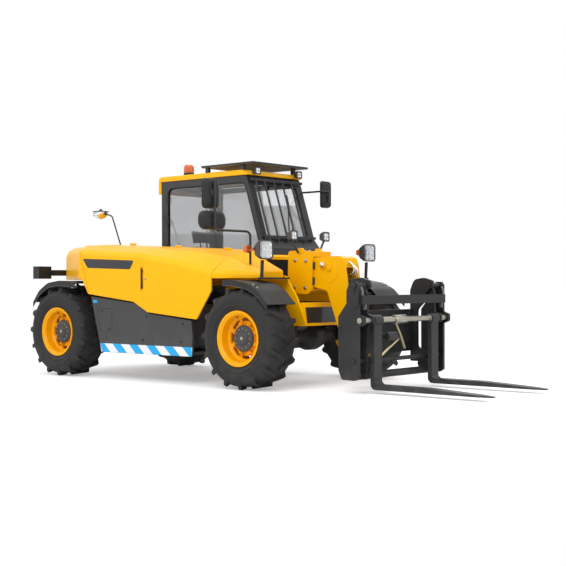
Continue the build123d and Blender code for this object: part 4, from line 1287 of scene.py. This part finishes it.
    def cushion(self, name: str, low: tuple[float, float, float],
                high: tuple[float, float, float], lean: float, pull: float
                ) -> bpy.types.Object:
        """Build a crowned cushion with two sewn channels and sides that pull in.

        Args:
            name: The piece's name.
            low: Lowest corner of its box.
            high: Highest corner of its box.
            lean: Metres that its top is set forward per metre of height.
            pull: How far each side pulls in at its middle.

        Returns:
            The cushion.
        """
        centre = (Vector(low) + Vector(high)) / 2
        half = (Vector(high) - Vector(low)) / 2
        work = Workpiece(name)
        bmesh.ops.create_cube(work.mesh, size=2.0)
        bmesh.ops.subdivide_edges(work.mesh, edges=work.mesh.edges[:], cuts=self.pad_cuts,
                                  use_grid_fill=True)
        thin = min(range(3), key=lambda axis: half[axis])
        wide = [axis for axis in range(3) if axis != thin]
        for vertex in work.mesh.verts:
            unit = vertex.co.copy()
            crown = 1.0
            for axis in wide:
                crown *= 1.0 - 0.45 * abs(unit[axis]) ** 5
            point = Vector([unit[axis] * half[axis] for axis in range(3)])
            point[thin] *= 0.62 + 0.38 * crown
            for axis, other in (wide, wide[::-1]):
                draw = pull * (1.0 - unit[other] ** 2) * abs(unit[axis]) ** 3
                point[axis] -= math.copysign(draw, unit[axis])
            if unit[thin] > 0.9:
                off = (abs(unit.y) - self.channel_at) / self.channel_width
                point[thin] -= self.channel_depth * math.exp(-off ** 2)
            point.x += lean * point.z
            vertex.co = at(*(centre + point))
        for _ in range(2):
            bmesh.ops.smooth_vert(work.mesh, verts=work.mesh.verts[:], factor=0.5,
                                  use_axis_x=True, use_axis_y=True, use_axis_z=True)
        return work.mount("machine", CLOTH, 80.0)

    def controls(self) -> None:
        """Build the armrest, the lever with its knob, and the dash display."""
        work = Workpiece("cab_controls")
        work.side(self.ARMREST, 0.17, 0.235)
        work.tube([at(*point) for point in self.LEVER], 0.009)
        work.lathe(at(1.34, 0.2, 1.02), Vector((0.2, 0.0, 1.0)), self.KNOB, 20)
        work.side(self.DISPLAY, 0.62, 0.78)
        work.mount("machine", PLASTIC)
        screen = Workpiece("dash_display")
        screen.prism([at(1.5285, y, z) for y, z in rounded(self.SCREEN)], AHEAD * 0.002)
        screen.mount("machine", BLACK_FILM)

    def outside(self) -> None:
        """Build the door's handle, the wiper and the grab rail."""
        handle = Workpiece("door_handle")
        handle.side(self.HANDLE_PLATE, self.left, self.left + 0.008)
        handle.tube([at(x, self.left + out, 1.008) for x, out in self.HANDLE_GRIP], 0.008)
        handle.mount("door", PLASTIC)
        wiper = Workpiece("screen_wiper")
        wiper.lathe(at(*self.WIPER_AT), Vector((1.0, 0.0, 0.3)), self.WIPER_BOSS, 20)
        wiper.tube([at(*point) for point in self.WIPER_ARM], 0.006)
        wiper.tube([at(*point) for point in self.WIPER_BLADE], 0.0075)
        wiper.mount("machine", PLASTIC)
        rail = Workpiece("grab_rail")
        rail.tube([at(*point) for point in self.GRAB_RAIL], 0.011)
        rail.mount("machine", PLASTIC)


@dataclass
class Boom:
    """Bare side panels, bolts, pins, pads and pipes on the boom."""

    right: float = BOOM_Y - 0.11
    left: float = BOOM_Y + 0.11
    collar_thick: float = 0.015
    bolt_size: float = 0.024
    nose_half: float = 0.094
    seam: float = 0.003

    COLLAR_BOLTS = ((2.67, -0.13), (2.67, 0.1), (2.79, -0.13), (2.79, 0.1))
    PANEL = ((2.06, 0.105, 0.012), (2.58, 0.105, 0.012), (2.58, -0.105, 0.012),
             (2.1, -0.105, 0.012))
    UPPER_PIPE = ((2.78, 1.035), (2.86, 1.035, 0.03), (2.9, 1.0, 0.03), (2.9, 0.955, 0.02),
                  (2.855, 0.93, 0.02), (2.83, 0.935))
    LOWER_PIPE = ((2.68, 0.83), (2.73, 0.77), (2.765, 0.69), (2.8, 0.6), (2.835, 0.52))
    CHEEK = ((2.6, 0.96), (2.62, 0.88, 0.08), (2.7, 0.86, 0.08), (2.76, 0.93, 0.1),
             (2.79, 1.06))
    PORT = ((0.0, 0.013), (0.014, 0.013), (0.016, 0.009), (0.022, 0.009))
    CYLINDERS = (("lift", (-0.23, 0.52), (0.7, 0.8), 0.045, 0.28),
                 ("tilt", (2.67, 0.985), (3.01, 0.56), 0.036, 0.14))

    def build(self) -> None:
        """Build the boom's details."""
        self.panels()
        self.collar()
        self.nose()
        self.cylinders()

    def panels(self) -> None:
        """Build the bare dark panel on each side of the outer boom."""
        for name, face, out in (("right", self.right, -1), ("left", self.left, 1)):
            work = Workpiece(f"boom_side_panel_{name}")
            work.prism([on_boom(a, b, face - out * 0.001) for a, b in rounded(self.PANEL)],
                       ACROSS * out * 0.0025)
            work.mount("boom", BLACK_FILM)

    def collar(self) -> None:
        """Build the bolts and wear pads round the boom's head, and its pivot's caps."""
        bolts = Workpiece("boom_head_bolts")
        pads = Workpiece("boom_wear_pads")
        for out, face in ((-1, self.right - self.collar_thick),
                          (1, self.left + self.collar_thick)):
            for along, above in self.COLLAR_BOLTS:
                bolts.bolt(on_boom(along, above, face), ACROSS * out, self.bolt_size)
            for above in (-0.07, 0.06):
                pads.prism([on_boom(along, above + rise, BOOM_Y + out * 0.095)
                            for along, rise in ((2.855, -0.03), (2.855, 0.03),
                                                (2.872, 0.03), (2.872, -0.03))],
                           ACROSS * out * 0.02)
        for y in (-0.06, 0.0):
            bolts.bolt(on_boom(2.7, 0.183, y), UP, self.bolt_size)
        bolts.mount("boom", ZINC)
        pads.mount("boom", CAST_GREY)
        pin = Workpiece("boom_pivot_caps")
        for out, reach in ((-1, 0.16), (1, 0.175)):
            pin.cap(at(BOOM_PIVOT[0], BOOM_Y + out * reach, BOOM_PIVOT[1]), ACROSS * out,
                    0.034, 0.006, 0.003, 0.004)
        pin.mount("machine", ZINC)

    def nose(self) -> None:
        """Build the pins' bosses and bolts, the pipes and the seams on the boom's nose."""
        bosses = Workpiece("nose_pin_bosses")
        bolts = Workpiece("nose_pin_bolts")
        for out in (-1, 1):
            face = BOOM_Y + out * self.nose_half
            bosses.cap(at(2.606, face, 1.015), ACROSS * out, 0.036, 0.01, 0.004, 0.002)
            bosses.cap(at(2.67, BOOM_Y + out * 0.1, 0.985), ACROSS * out, 0.024, 0.003, 0.002,
                       0.002, 32)
            bolts.bolt(at(2.606, face + out * 0.014, 1.015), ACROSS * out, 0.034)
        bosses.mount("boom_tip", YELLOW)
        bolts.mount("boom_tip", CHROME)
        pipes = Workpiece("nose_pipes")
        for n in range(3):
            y = BOOM_Y - 0.05 + 0.024 * n
            pipes.tube([at(x, y, z - 0.012 * n) for x, z in rounded(self.UPPER_PIPE)], 0.0065)
            pipes.tube([at(x, y, z - 0.004 * n) for x, z in self.LOWER_PIPE], 0.006)
        pipes.mount("boom_tip", CHROME)
        cheek = Workpiece("nose_cheek_seams")
        for out in (-1, 1):
            face = BOOM_Y + out * self.nose_half
            cheek.tube([at(x, face, z) for x, z in rounded(self.CHEEK)], self.seam)
        cheek.mount("boom_tip", YELLOW)
        seam = Workpiece("nose_top_seam")
        seam.tube([on_boom(along, 0.1305, BOOM_Y) for along in (2.9, 3.0)], self.seam)
        seam.mount("boom_tip", YELLOW)

    def cylinders(self) -> None:
        """Build the hose ports on the barrels of the two cylinders."""
        for name, base, eye, radius, reach in self.CYLINDERS:
            along = Vector((eye[0] - base[0], 0.0, eye[1] - base[1])).normalized()
            square = Vector((-along.z, 0.0, along.x))
            start = at(base[0], BOOM_Y, base[1])
            work = Workpiece(f"{name}_cylinder_ports")
            for share in (1.0, 1.6):
                seat = start + along * reach * share + square * (radius - 0.004)
                work.lathe(seat, square, self.PORT, 6)
            work.mount(f"{name}_cylinder", ZINC)


@dataclass
class Carriage:
    """Pins, shaft sleeve, rods and guards on the fork carriage."""

    cheek: float = 0.6
    shaft_at: tuple[float, float] = (3.36, 0.57)
    shaft_radius: float = 0.0235
    sleeve_radius: float = 0.035
    sleeve: float = 0.16
    collar_radius: float = 0.031
    collar: float = 0.01
    gusset_y: float = 0.53
    bolt_size: float = 0.02

    HOOK_PINS = ((3.3, 0.839, 0.024, 0.012), (3.292, 0.253, 0.022, 0.01))
    CHEEK_BOLTS = ((3.19, 0.17), (3.31, 0.17), (3.17, 0.52), (3.3, 0.8), (3.32, 0.68))
    BACK_BOLTS = (0.33, 0.4, 0.52, 0.6)
    COLLARS = (-0.337, -0.465, 0.327, 0.455)
    LOCKING_RODS = ((0.011, (3.33, -0.1, 0.55), (3.3, 0.02, 0.43), (3.28, 0.1, 0.33)),
                    (0.01, (3.26, -0.3, 0.22), (3.27, -0.12, 0.33), (3.28, 0.02, 0.41)))
    BLOCK = ((0.0, 0.03), (0.006, 0.036), (0.1, 0.036), (0.106, 0.03))
    SHAFT_END = ((-0.001, 0.02), (0.003, 0.019), (0.005, 0.012), (0.005, 0.0))
    GUARD_BAR = ((3.354, 0.765), (3.354, 0.8), (3.34, 0.83))
    GUSSET = ((3.342, 0.64, 0.01), (3.366, 0.66, 0.004), (3.366, 0.695), (3.342, 0.695))

    def build(self) -> None:
        """Build the carriage's details."""
        self.pins()
        self.shaft()
        self.rods()

    def pins(self) -> None:
        """Build the hook pins' heads, the pivot's caps and the bush rings."""
        caps = Workpiece("carriage_pin_heads")
        for out in (-1, 1):
            for x, z, radius, rise in self.HOOK_PINS:
                caps.cap(at(x, out * self.cheek, z), ACROSS * out, radius, rise, 0.002,
                         segments=32)
            caps.cap(at(2.98, BOOM_Y + out * 0.13, 0.32), ACROSS * out, 0.04, 0.006, 0.002,
                     0.001)
            caps.cap(at(3.01, BOOM_Y + out * 0.062, 0.56), ACROSS * out, 0.022, 0.006, 0.002,
                     segments=28)
        caps.mount("fork_carriage", BLACK_STEEL)
        bolts = Workpiece("carriage_bolts")
        for out in (-1, 1):
            for x, z in self.CHEEK_BOLTS:
                bolts.bolt(at(x, out * self.cheek, z), ACROSS * out, self.bolt_size)
            for z in self.BACK_BOLTS:
                bolts.bolt(at(3.14, out * 0.36, z), AHEAD, self.bolt_size)
        bolts.mount("fork_carriage", BLACK_STEEL)

    def shaft(self) -> None:
        """Build the shaft's sleeve, collars and end caps."""
        work = Workpiece("shaft_sleeve")
        middle = at(self.shaft_at[0], 0.0, self.shaft_at[1])
        inner, outer = self.shaft_radius, self.sleeve_radius
        work.lathe(middle - ACROSS * self.sleeve, ACROSS,
                   [(0.0, inner), (0.0, outer - 0.002), (0.004, outer),
                    (self.sleeve - 0.004, outer), (self.sleeve, outer - 0.002),
                    (self.sleeve, inner)], 36)
        for start in self.COLLARS:
            work.lathe(middle + ACROSS * start, ACROSS,
                       [(0.0, inner), (0.0, self.collar_radius),
                        (self.collar, self.collar_radius), (self.collar, inner)], 32)
        for out in (-1, 1):
            work.lathe(middle + ACROSS * out * 0.612, ACROSS * out, self.SHAFT_END, 28)
        work.mount("fork_carriage", ZINC)

    def rods(self) -> None:
        """Build the locking rods, their block, and the gussets with their guard bars."""
        rods = Workpiece("locking_rods")
        for radius, *path in self.LOCKING_RODS:
            rods.tube([at(*point) for point in path], radius, 16)
        rods.mount("fork_carriage", BRASS_PASSIVE)
        block = Workpiece("locking_block")
        block.lathe(at(3.24, -0.09, 0.43), Vector((0.3, 1.0, 0.0)), self.BLOCK, 8)
        block.lathe(at(3.2, -0.05, 0.43), AHEAD, [(-0.06, 0.02), (0.04, 0.02)], 20)
        block.mount("fork_carriage", CAST_GREY)
        bars = Workpiece("frame_gussets")
        for out in (-1, 1):
            y = out * self.gusset_y
            bars.side(self.GUSSET, y - 0.006, y + 0.006)
            bars.tube([at(x, out * 0.56, z) for x, z in self.GUARD_BAR], 0.009)
        bars.mount("fork_carriage", LIP_GREY)


@dataclass
class Lamps:
    """Reflectors, clear lenses, the beacon's dome and the mirrors' glasses."""

    border: float = 0.011
    corner_share: float = 0.13
    bezel_share: float = 0.18
    cup_share: float = 0.42
    beacon_at: tuple[float, float, float] = (0.62, 0.23, 1.9205)
    beacon_ribs: int = 28
    beacon_radius: float = 0.0497
    dome_at: tuple[float, float, float] = (-0.133, -0.26, 1.58)
    dome_radius: float = 0.0762
    dome_steps: int = 12

    WORK = ((2.48, -0.697, 1.135, 0.17, 0.158), (2.48, 0.697, 1.135, 0.17, 0.158),
            (1.56, 0.21, 1.908, 0.08, 0.074), (1.56, 0.8, 1.908, 0.08, 0.074))
    BOOM = ((2.39, BOOM_Y - 0.215, 1.268, 0.09, 0.086),
            (2.39, BOOM_Y + 0.215, 1.268, 0.09, 0.086))
    CUP = ((0.0, 1.0), (0.003, 1.0), (0.0032, 0.92), (0.0012, 0.6), (0.0006, 0.25),
           (0.0024, 0.12), (0.0026, 0.0))
    BEACON_BASE = ((0.0, 0.052), (0.012, 0.052), (0.026, 0.0515), (0.03, 0.05))
    GLASSES = ((2.073, -0.939, 1.6, 0.18, 0.25), (2.073, -0.919, 1.38, 0.3, 0.156),
               (1.725, 0.98, 1.72, 0.14, 0.26))
    BOSSES = ((2.113, -0.939, 1.6, 0.034), (2.113, -0.919, 1.38, 0.03),
              (1.766, 0.98, 1.72, 0.03))
    DOME_RIM = ((0.0, 0.081), (0.004, 0.082), (0.007, 0.08), (0.008, 0.03), (0.02, 0.012),
                (0.03, 0.01), (0.033, 0.0))

    def build(self) -> None:
        """Build the lamps' and mirrors' details."""
        for n, place in enumerate(self.WORK):
            self.lamp(f"work_lamp_{n + 1}", "machine", *place)
        for n, place in enumerate(self.BOOM):
            self.lamp(f"boom_lamp_{n + 1}", "boom", *place)
        self.beacon()
        self.mirrors()

    @staticmethod
    def frame(x: float, y: float, z: float, width: float, height: float, radius: float
              ) -> Loop:
        """Rounded rectangle that faces forward.

        Args:
            x: Its place, in metres forward from the rear axle.
            y: Its middle.
            z: Its middle height.
            width: Its width.
            height: Its height.
            radius: Radius of its corners.

        Returns:
            The outline's points.
        """
        w, h = width / 2, height / 2
        corners = [(y - w, z - h, radius), (y + w, z - h, radius),
                   (y + w, z + h, radius), (y - w, z + h, radius)]
        return [at(x, a, b) for a, b in rounded(corners)]

    def lamp(self, name: str, body: str, x: float, y: float, z: float, width: float,
             height: float) -> None:
        """Build one lamp's bezel, cupped reflector and lens.

        Args:
            name: Start of the pieces' names.
            body: Body that carries the lamp.
            x: The housing's front.
            y: The lamp's middle.
            z: The lamp's middle height.
            width: Width of the housing.
            height: Height of the housing.
        """
        w, h = width - 2 * self.border, height - 2 * self.border
        cups = 3 if width > 0.1 else 2
        bowl = Workpiece(f"{name}_reflector")
        corner = self.corner_share * width
        bowl.skin([self.frame(x - 0.0055, y, z, w, h, corner),
                   self.frame(x - 0.0045, y, z, w, h, corner)])
        for row in range(cups):
            for column in range(cups):
                centre = at(x - 0.0048, y + w * ((column + 0.5) / cups - 0.5),
                            z + h * ((row + 0.5) / cups - 0.5))
                size = self.cup_share * min(w, h) / cups
                bowl.lathe(centre, AHEAD, [(rise, share * size) for rise, share in self.CUP],
                           24)
        bowl.mount(body, REFLECTOR)
        lens = Workpiece(f"{name}_lens")
        lens.skin([self.frame(x - 0.0012, y, z, w, h, corner),
                   self.frame(x + 0.0006, y, z, w, h, corner),
                   self.frame(x + 0.0016, y, z, w - 0.006, h - 0.006, 0.12 * width)])
        lens.mount(body, LENS)
        bezel = Workpiece(f"{name}_bezel")
        outer = self.bezel_share * width
        rims = [self.frame(x - 0.001, y, z, width, height, outer),
                self.frame(x + 0.003, y, z, width - 0.003, height - 0.003, outer),
                self.frame(x + 0.003, y, z, w + 0.002, h + 0.002, 0.14 * width),
                self.frame(x - 0.001, y, z, w + 0.001, h + 0.001, 0.14 * width)]
        bezel.skin([*rims, rims[0]], caps=False)
        bezel.mount(body, LAMP_SHELL)

    def beacon(self) -> None:
        """Build the beacon's dark base and the ribs on its amber dome."""
        foot = at(*self.beacon_at)
        work = Workpiece("beacon_base")
        work.lathe(foot, UP, self.BEACON_BASE, 40)
        work.mount("machine", PLASTIC)
        ribs = Workpiece("beacon_ribs")
        for n in range(self.beacon_ribs):
            angle = 2 * math.pi * n / self.beacon_ribs
            spoke = Vector((math.cos(angle), math.sin(angle), 0.0)) * self.beacon_radius
            ribs.tube([foot + UP * 0.0315 + spoke, foot + UP * 0.0815 + spoke], 0.0016, 6)
        ribs.mount("machine", AMBER)

    def mirrors(self) -> None:
        """Build the mirrors' glasses and bosses, and the dome mirror's skin and rim."""
        glass = Workpiece("mirror_glasses")
        for x, y, z, width, height in self.GLASSES:
            glass.skin([self.frame(x + 0.0005, y, z, width - 0.02, height - 0.02, 0.2 * width),
                        self.frame(x - 0.0012, y, z, width - 0.022, height - 0.022,
                                   0.2 * width)])
        glass.mount("machine", MIRROR)
        boss = Workpiece("mirror_bosses")
        for x, y, z, radius in self.BOSSES:
            boss.lathe(at(x, y, z), AHEAD, [(-0.002, radius), (0.006, radius),
                                            (0.012, 0.8 * radius), (0.014, 0.0)], 32)
        boss.mount("machine", PLASTIC)
        dome = Workpiece("dome_mirror_skin")
        turns = [math.pi / 2 * n / self.dome_steps for n in range(self.dome_steps + 1)]
        dome.lathe(at(*self.dome_at), -UP,
                   [(self.dome_radius * math.sin(turn), self.dome_radius * math.cos(turn))
                    for turn in turns], 56)
        dome.mount("machine", MIRROR)
        rim = Workpiece("dome_mirror_rim")
        rim.lathe(at(*self.dome_at) - UP * 0.002, UP, self.DOME_RIM, 56)
        rim.mount("machine", PLASTIC)


class Studio:
    """Pale floor, white room, soft lights and the photograph's camera."""

    CAMERA_AT = (8.593, -7.448, 0.849)
    AZIMUTH = 41.31
    ELEVATION = -0.09
    ROLL = -0.20
    LENS_PX = 1122.5
    PHOTO_PX = 566.0
    NEAR_FLOOR = 3.4
    FAR_FLOOR = 6.5
    FLOOR_LIFT = 0.32
    FLOOR_COLOUR = (0.9, 0.9, 0.9, 1.0)
    FLOOR_ROUGHNESS = 0.7
    FLOOR_SHINE = 0.2
    FLOOR_RADIUS = 40.0
    SENSOR_MM = 36.0
    WHITE = (1.0, 1.0, 1.0, 1.0)
    ROOM_STRENGTH = 0.5
    AIM = Vector((0.0, 0.0, 0.7))
    SOFT_BOXES = (("key", (3.0, -7.5, 6.0), 5.0, 400.0),
                  ("fill", (-7.0, -5.0, 4.5), 6.0, 130.0),
                  ("front", (9.0, 1.0, 4.0), 5.0, 165.0),
                  ("back", (-4.0, 8.0, 5.0), 6.0, 120.0),
                  ("top", (0.0, 0.0, 7.5), 7.0, 260.0))

    def build(self) -> None:
        """Make the camera, the stage, the lights and the world."""
        self.camera()
        self.floor()
        self.lights()
        self.room()
        bpy.context.scene.view_settings.view_transform = "Standard"

    def camera(self) -> None:
        """Place the camera that was solved from the wheels and the forks."""
        a = math.radians(self.AZIMUTH)
        e = math.radians(self.ELEVATION)
        r = math.radians(self.ROLL)
        forward = Vector((-math.sin(a) * math.cos(e), math.cos(a) * math.cos(e), -math.sin(e)))
        level = Vector((math.cos(a), math.sin(a), 0.0))
        above = level.cross(forward)
        right = level * math.cos(r) + above * math.sin(r)
        up = above * math.cos(r) - level * math.sin(r)
        data = bpy.data.cameras.new("camera")
        data.sensor_width = self.SENSOR_MM
        data.lens = self.SENSOR_MM * self.LENS_PX / self.PHOTO_PX
        data.clip_end = 200.0
        camera = bpy.data.objects.new("camera", data)
        bpy.context.scene.collection.objects.link(camera)
        basis = Matrix((right, up, -forward)).transposed().to_4x4()
        camera.matrix_world = Matrix.Translation(at(*self.CAMERA_AT)) @ basis
        bpy.context.scene.camera = camera

    def floor(self) -> None:
        """Make one seamless round floor."""
        builder = bmesh.new()
        bmesh.ops.create_circle(builder, cap_ends=True, radius=self.FLOOR_RADIUS,
                                segments=64)
        mesh = bpy.data.meshes.new("studio_floor")
        builder.to_mesh(mesh)
        builder.free()
        floor = bpy.data.objects.new("studio_floor", mesh)
        bpy.context.scene.collection.objects.link(floor)
        floor.data.materials.append(self.floor_material())

    def floor_material(self) -> bpy.types.Material:
        """Build the pale floor that turns to plain white away from the machine.

        Returns:
            The floor's material.
        """
        material = bpy.data.materials.new("studio_white")
        material.use_nodes = True
        tree = material.node_tree
        shader = tree.nodes["Principled BSDF"]
        shader.inputs["Base Color"].default_value = self.FLOOR_COLOUR
        shader.inputs["Roughness"].default_value = self.FLOOR_ROUGHNESS
        shader.inputs["Specular IOR Level"].default_value = self.FLOOR_SHINE
        white = tree.nodes.new("ShaderNodeEmission")
        path = tree.nodes.new("ShaderNodeLightPath")
        place = tree.nodes.new("ShaderNodeTexCoord")
        reach = tree.nodes.new("ShaderNodeVectorMath")
        reach.operation = "LENGTH"
        tree.links.new(place.outputs["Object"], reach.inputs[0])
        far = ShaderKit.spread(tree, reach.outputs["Value"], self.NEAR_FLOOR, self.FAR_FLOOR)
        seen = ShaderKit.math(tree, "MULTIPLY", far, path.outputs["Is Camera Ray"])
        mix = tree.nodes.new("ShaderNodeMixShader")
        glow = tree.nodes.new("ShaderNodeEmission")
        lift = ShaderKit.math(tree, "MULTIPLY", path.outputs["Is Camera Ray"], self.FLOOR_LIFT)
        tree.links.new(lift, glow.inputs["Strength"])
        lifted = tree.nodes.new("ShaderNodeAddShader")
        tree.links.new(shader.outputs["BSDF"], lifted.inputs[0])
        tree.links.new(glow.outputs["Emission"], lifted.inputs[1])
        tree.links.new(seen, mix.inputs["Fac"])
        tree.links.new(lifted.outputs["Shader"], mix.inputs[1])
        tree.links.new(white.outputs["Emission"], mix.inputs[2])
        tree.links.new(mix.outputs["Shader"], tree.nodes["Material Output"].inputs["Surface"])
        return material

    def lights(self) -> None:
        """Hang the soft boxes."""
        for name, place, size, power in self.SOFT_BOXES:
            data = bpy.data.lights.new(name, "AREA")
            data.size = size
            data.energy = power
            light = bpy.data.objects.new(name, data)
            light.location = place
            turned = (self.AIM - Vector(place)).to_track_quat("-Z", "Y")
            light.rotation_euler = turned.to_euler()
            bpy.context.scene.collection.objects.link(light)

    def room(self) -> None:
        """Light the room evenly and show it plain white."""
        world = bpy.data.worlds.new("room")
        world.use_nodes = True
        tree = world.node_tree
        soft = tree.nodes["Background"]
        soft.inputs["Color"].default_value = self.WHITE
        soft.inputs["Strength"].default_value = self.ROOM_STRENGTH
        white = tree.nodes.new("ShaderNodeBackground")
        white.inputs["Color"].default_value = self.WHITE
        path = tree.nodes.new("ShaderNodeLightPath")
        seen = ShaderKit.math(tree, "MAXIMUM", path.outputs["Is Camera Ray"],
                              path.outputs["Is Transmission Ray"])
        seen = ShaderKit.math(tree, "MAXIMUM", seen, path.outputs["Is Glossy Ray"])
        mix = tree.nodes.new("ShaderNodeMixShader")
        tree.links.new(seen, mix.inputs["Fac"])
        tree.links.new(soft.outputs["Background"], mix.inputs[1])
        tree.links.new(white.outputs["Background"], mix.inputs[2])
        tree.links.new(mix.outputs["Shader"], tree.nodes["World Output"].inputs["Surface"])
        bpy.context.scene.world = world


CORNERS = (("rear_right", 0.0, -1), ("rear_left", 0.0, 1),
           ("front_right", WHEELBASE, -1), ("front_left", WHEELBASE, 1))


def main() -> None:
    """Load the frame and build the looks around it."""
    logging.basicConfig(level=logging.INFO)
    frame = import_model()
    Studio().build()
    Paintshop.dress(frame)
    for corner, x, side in CORNERS:
        Wheel(corner, x, side).build()
        Mudguard(corner, x, side).build()
    for assembly in (Bodywork(), Cab(), Boom(), Carriage(), Lamps()):
        assembly.build()


if __name__ == "__main__":
    main()
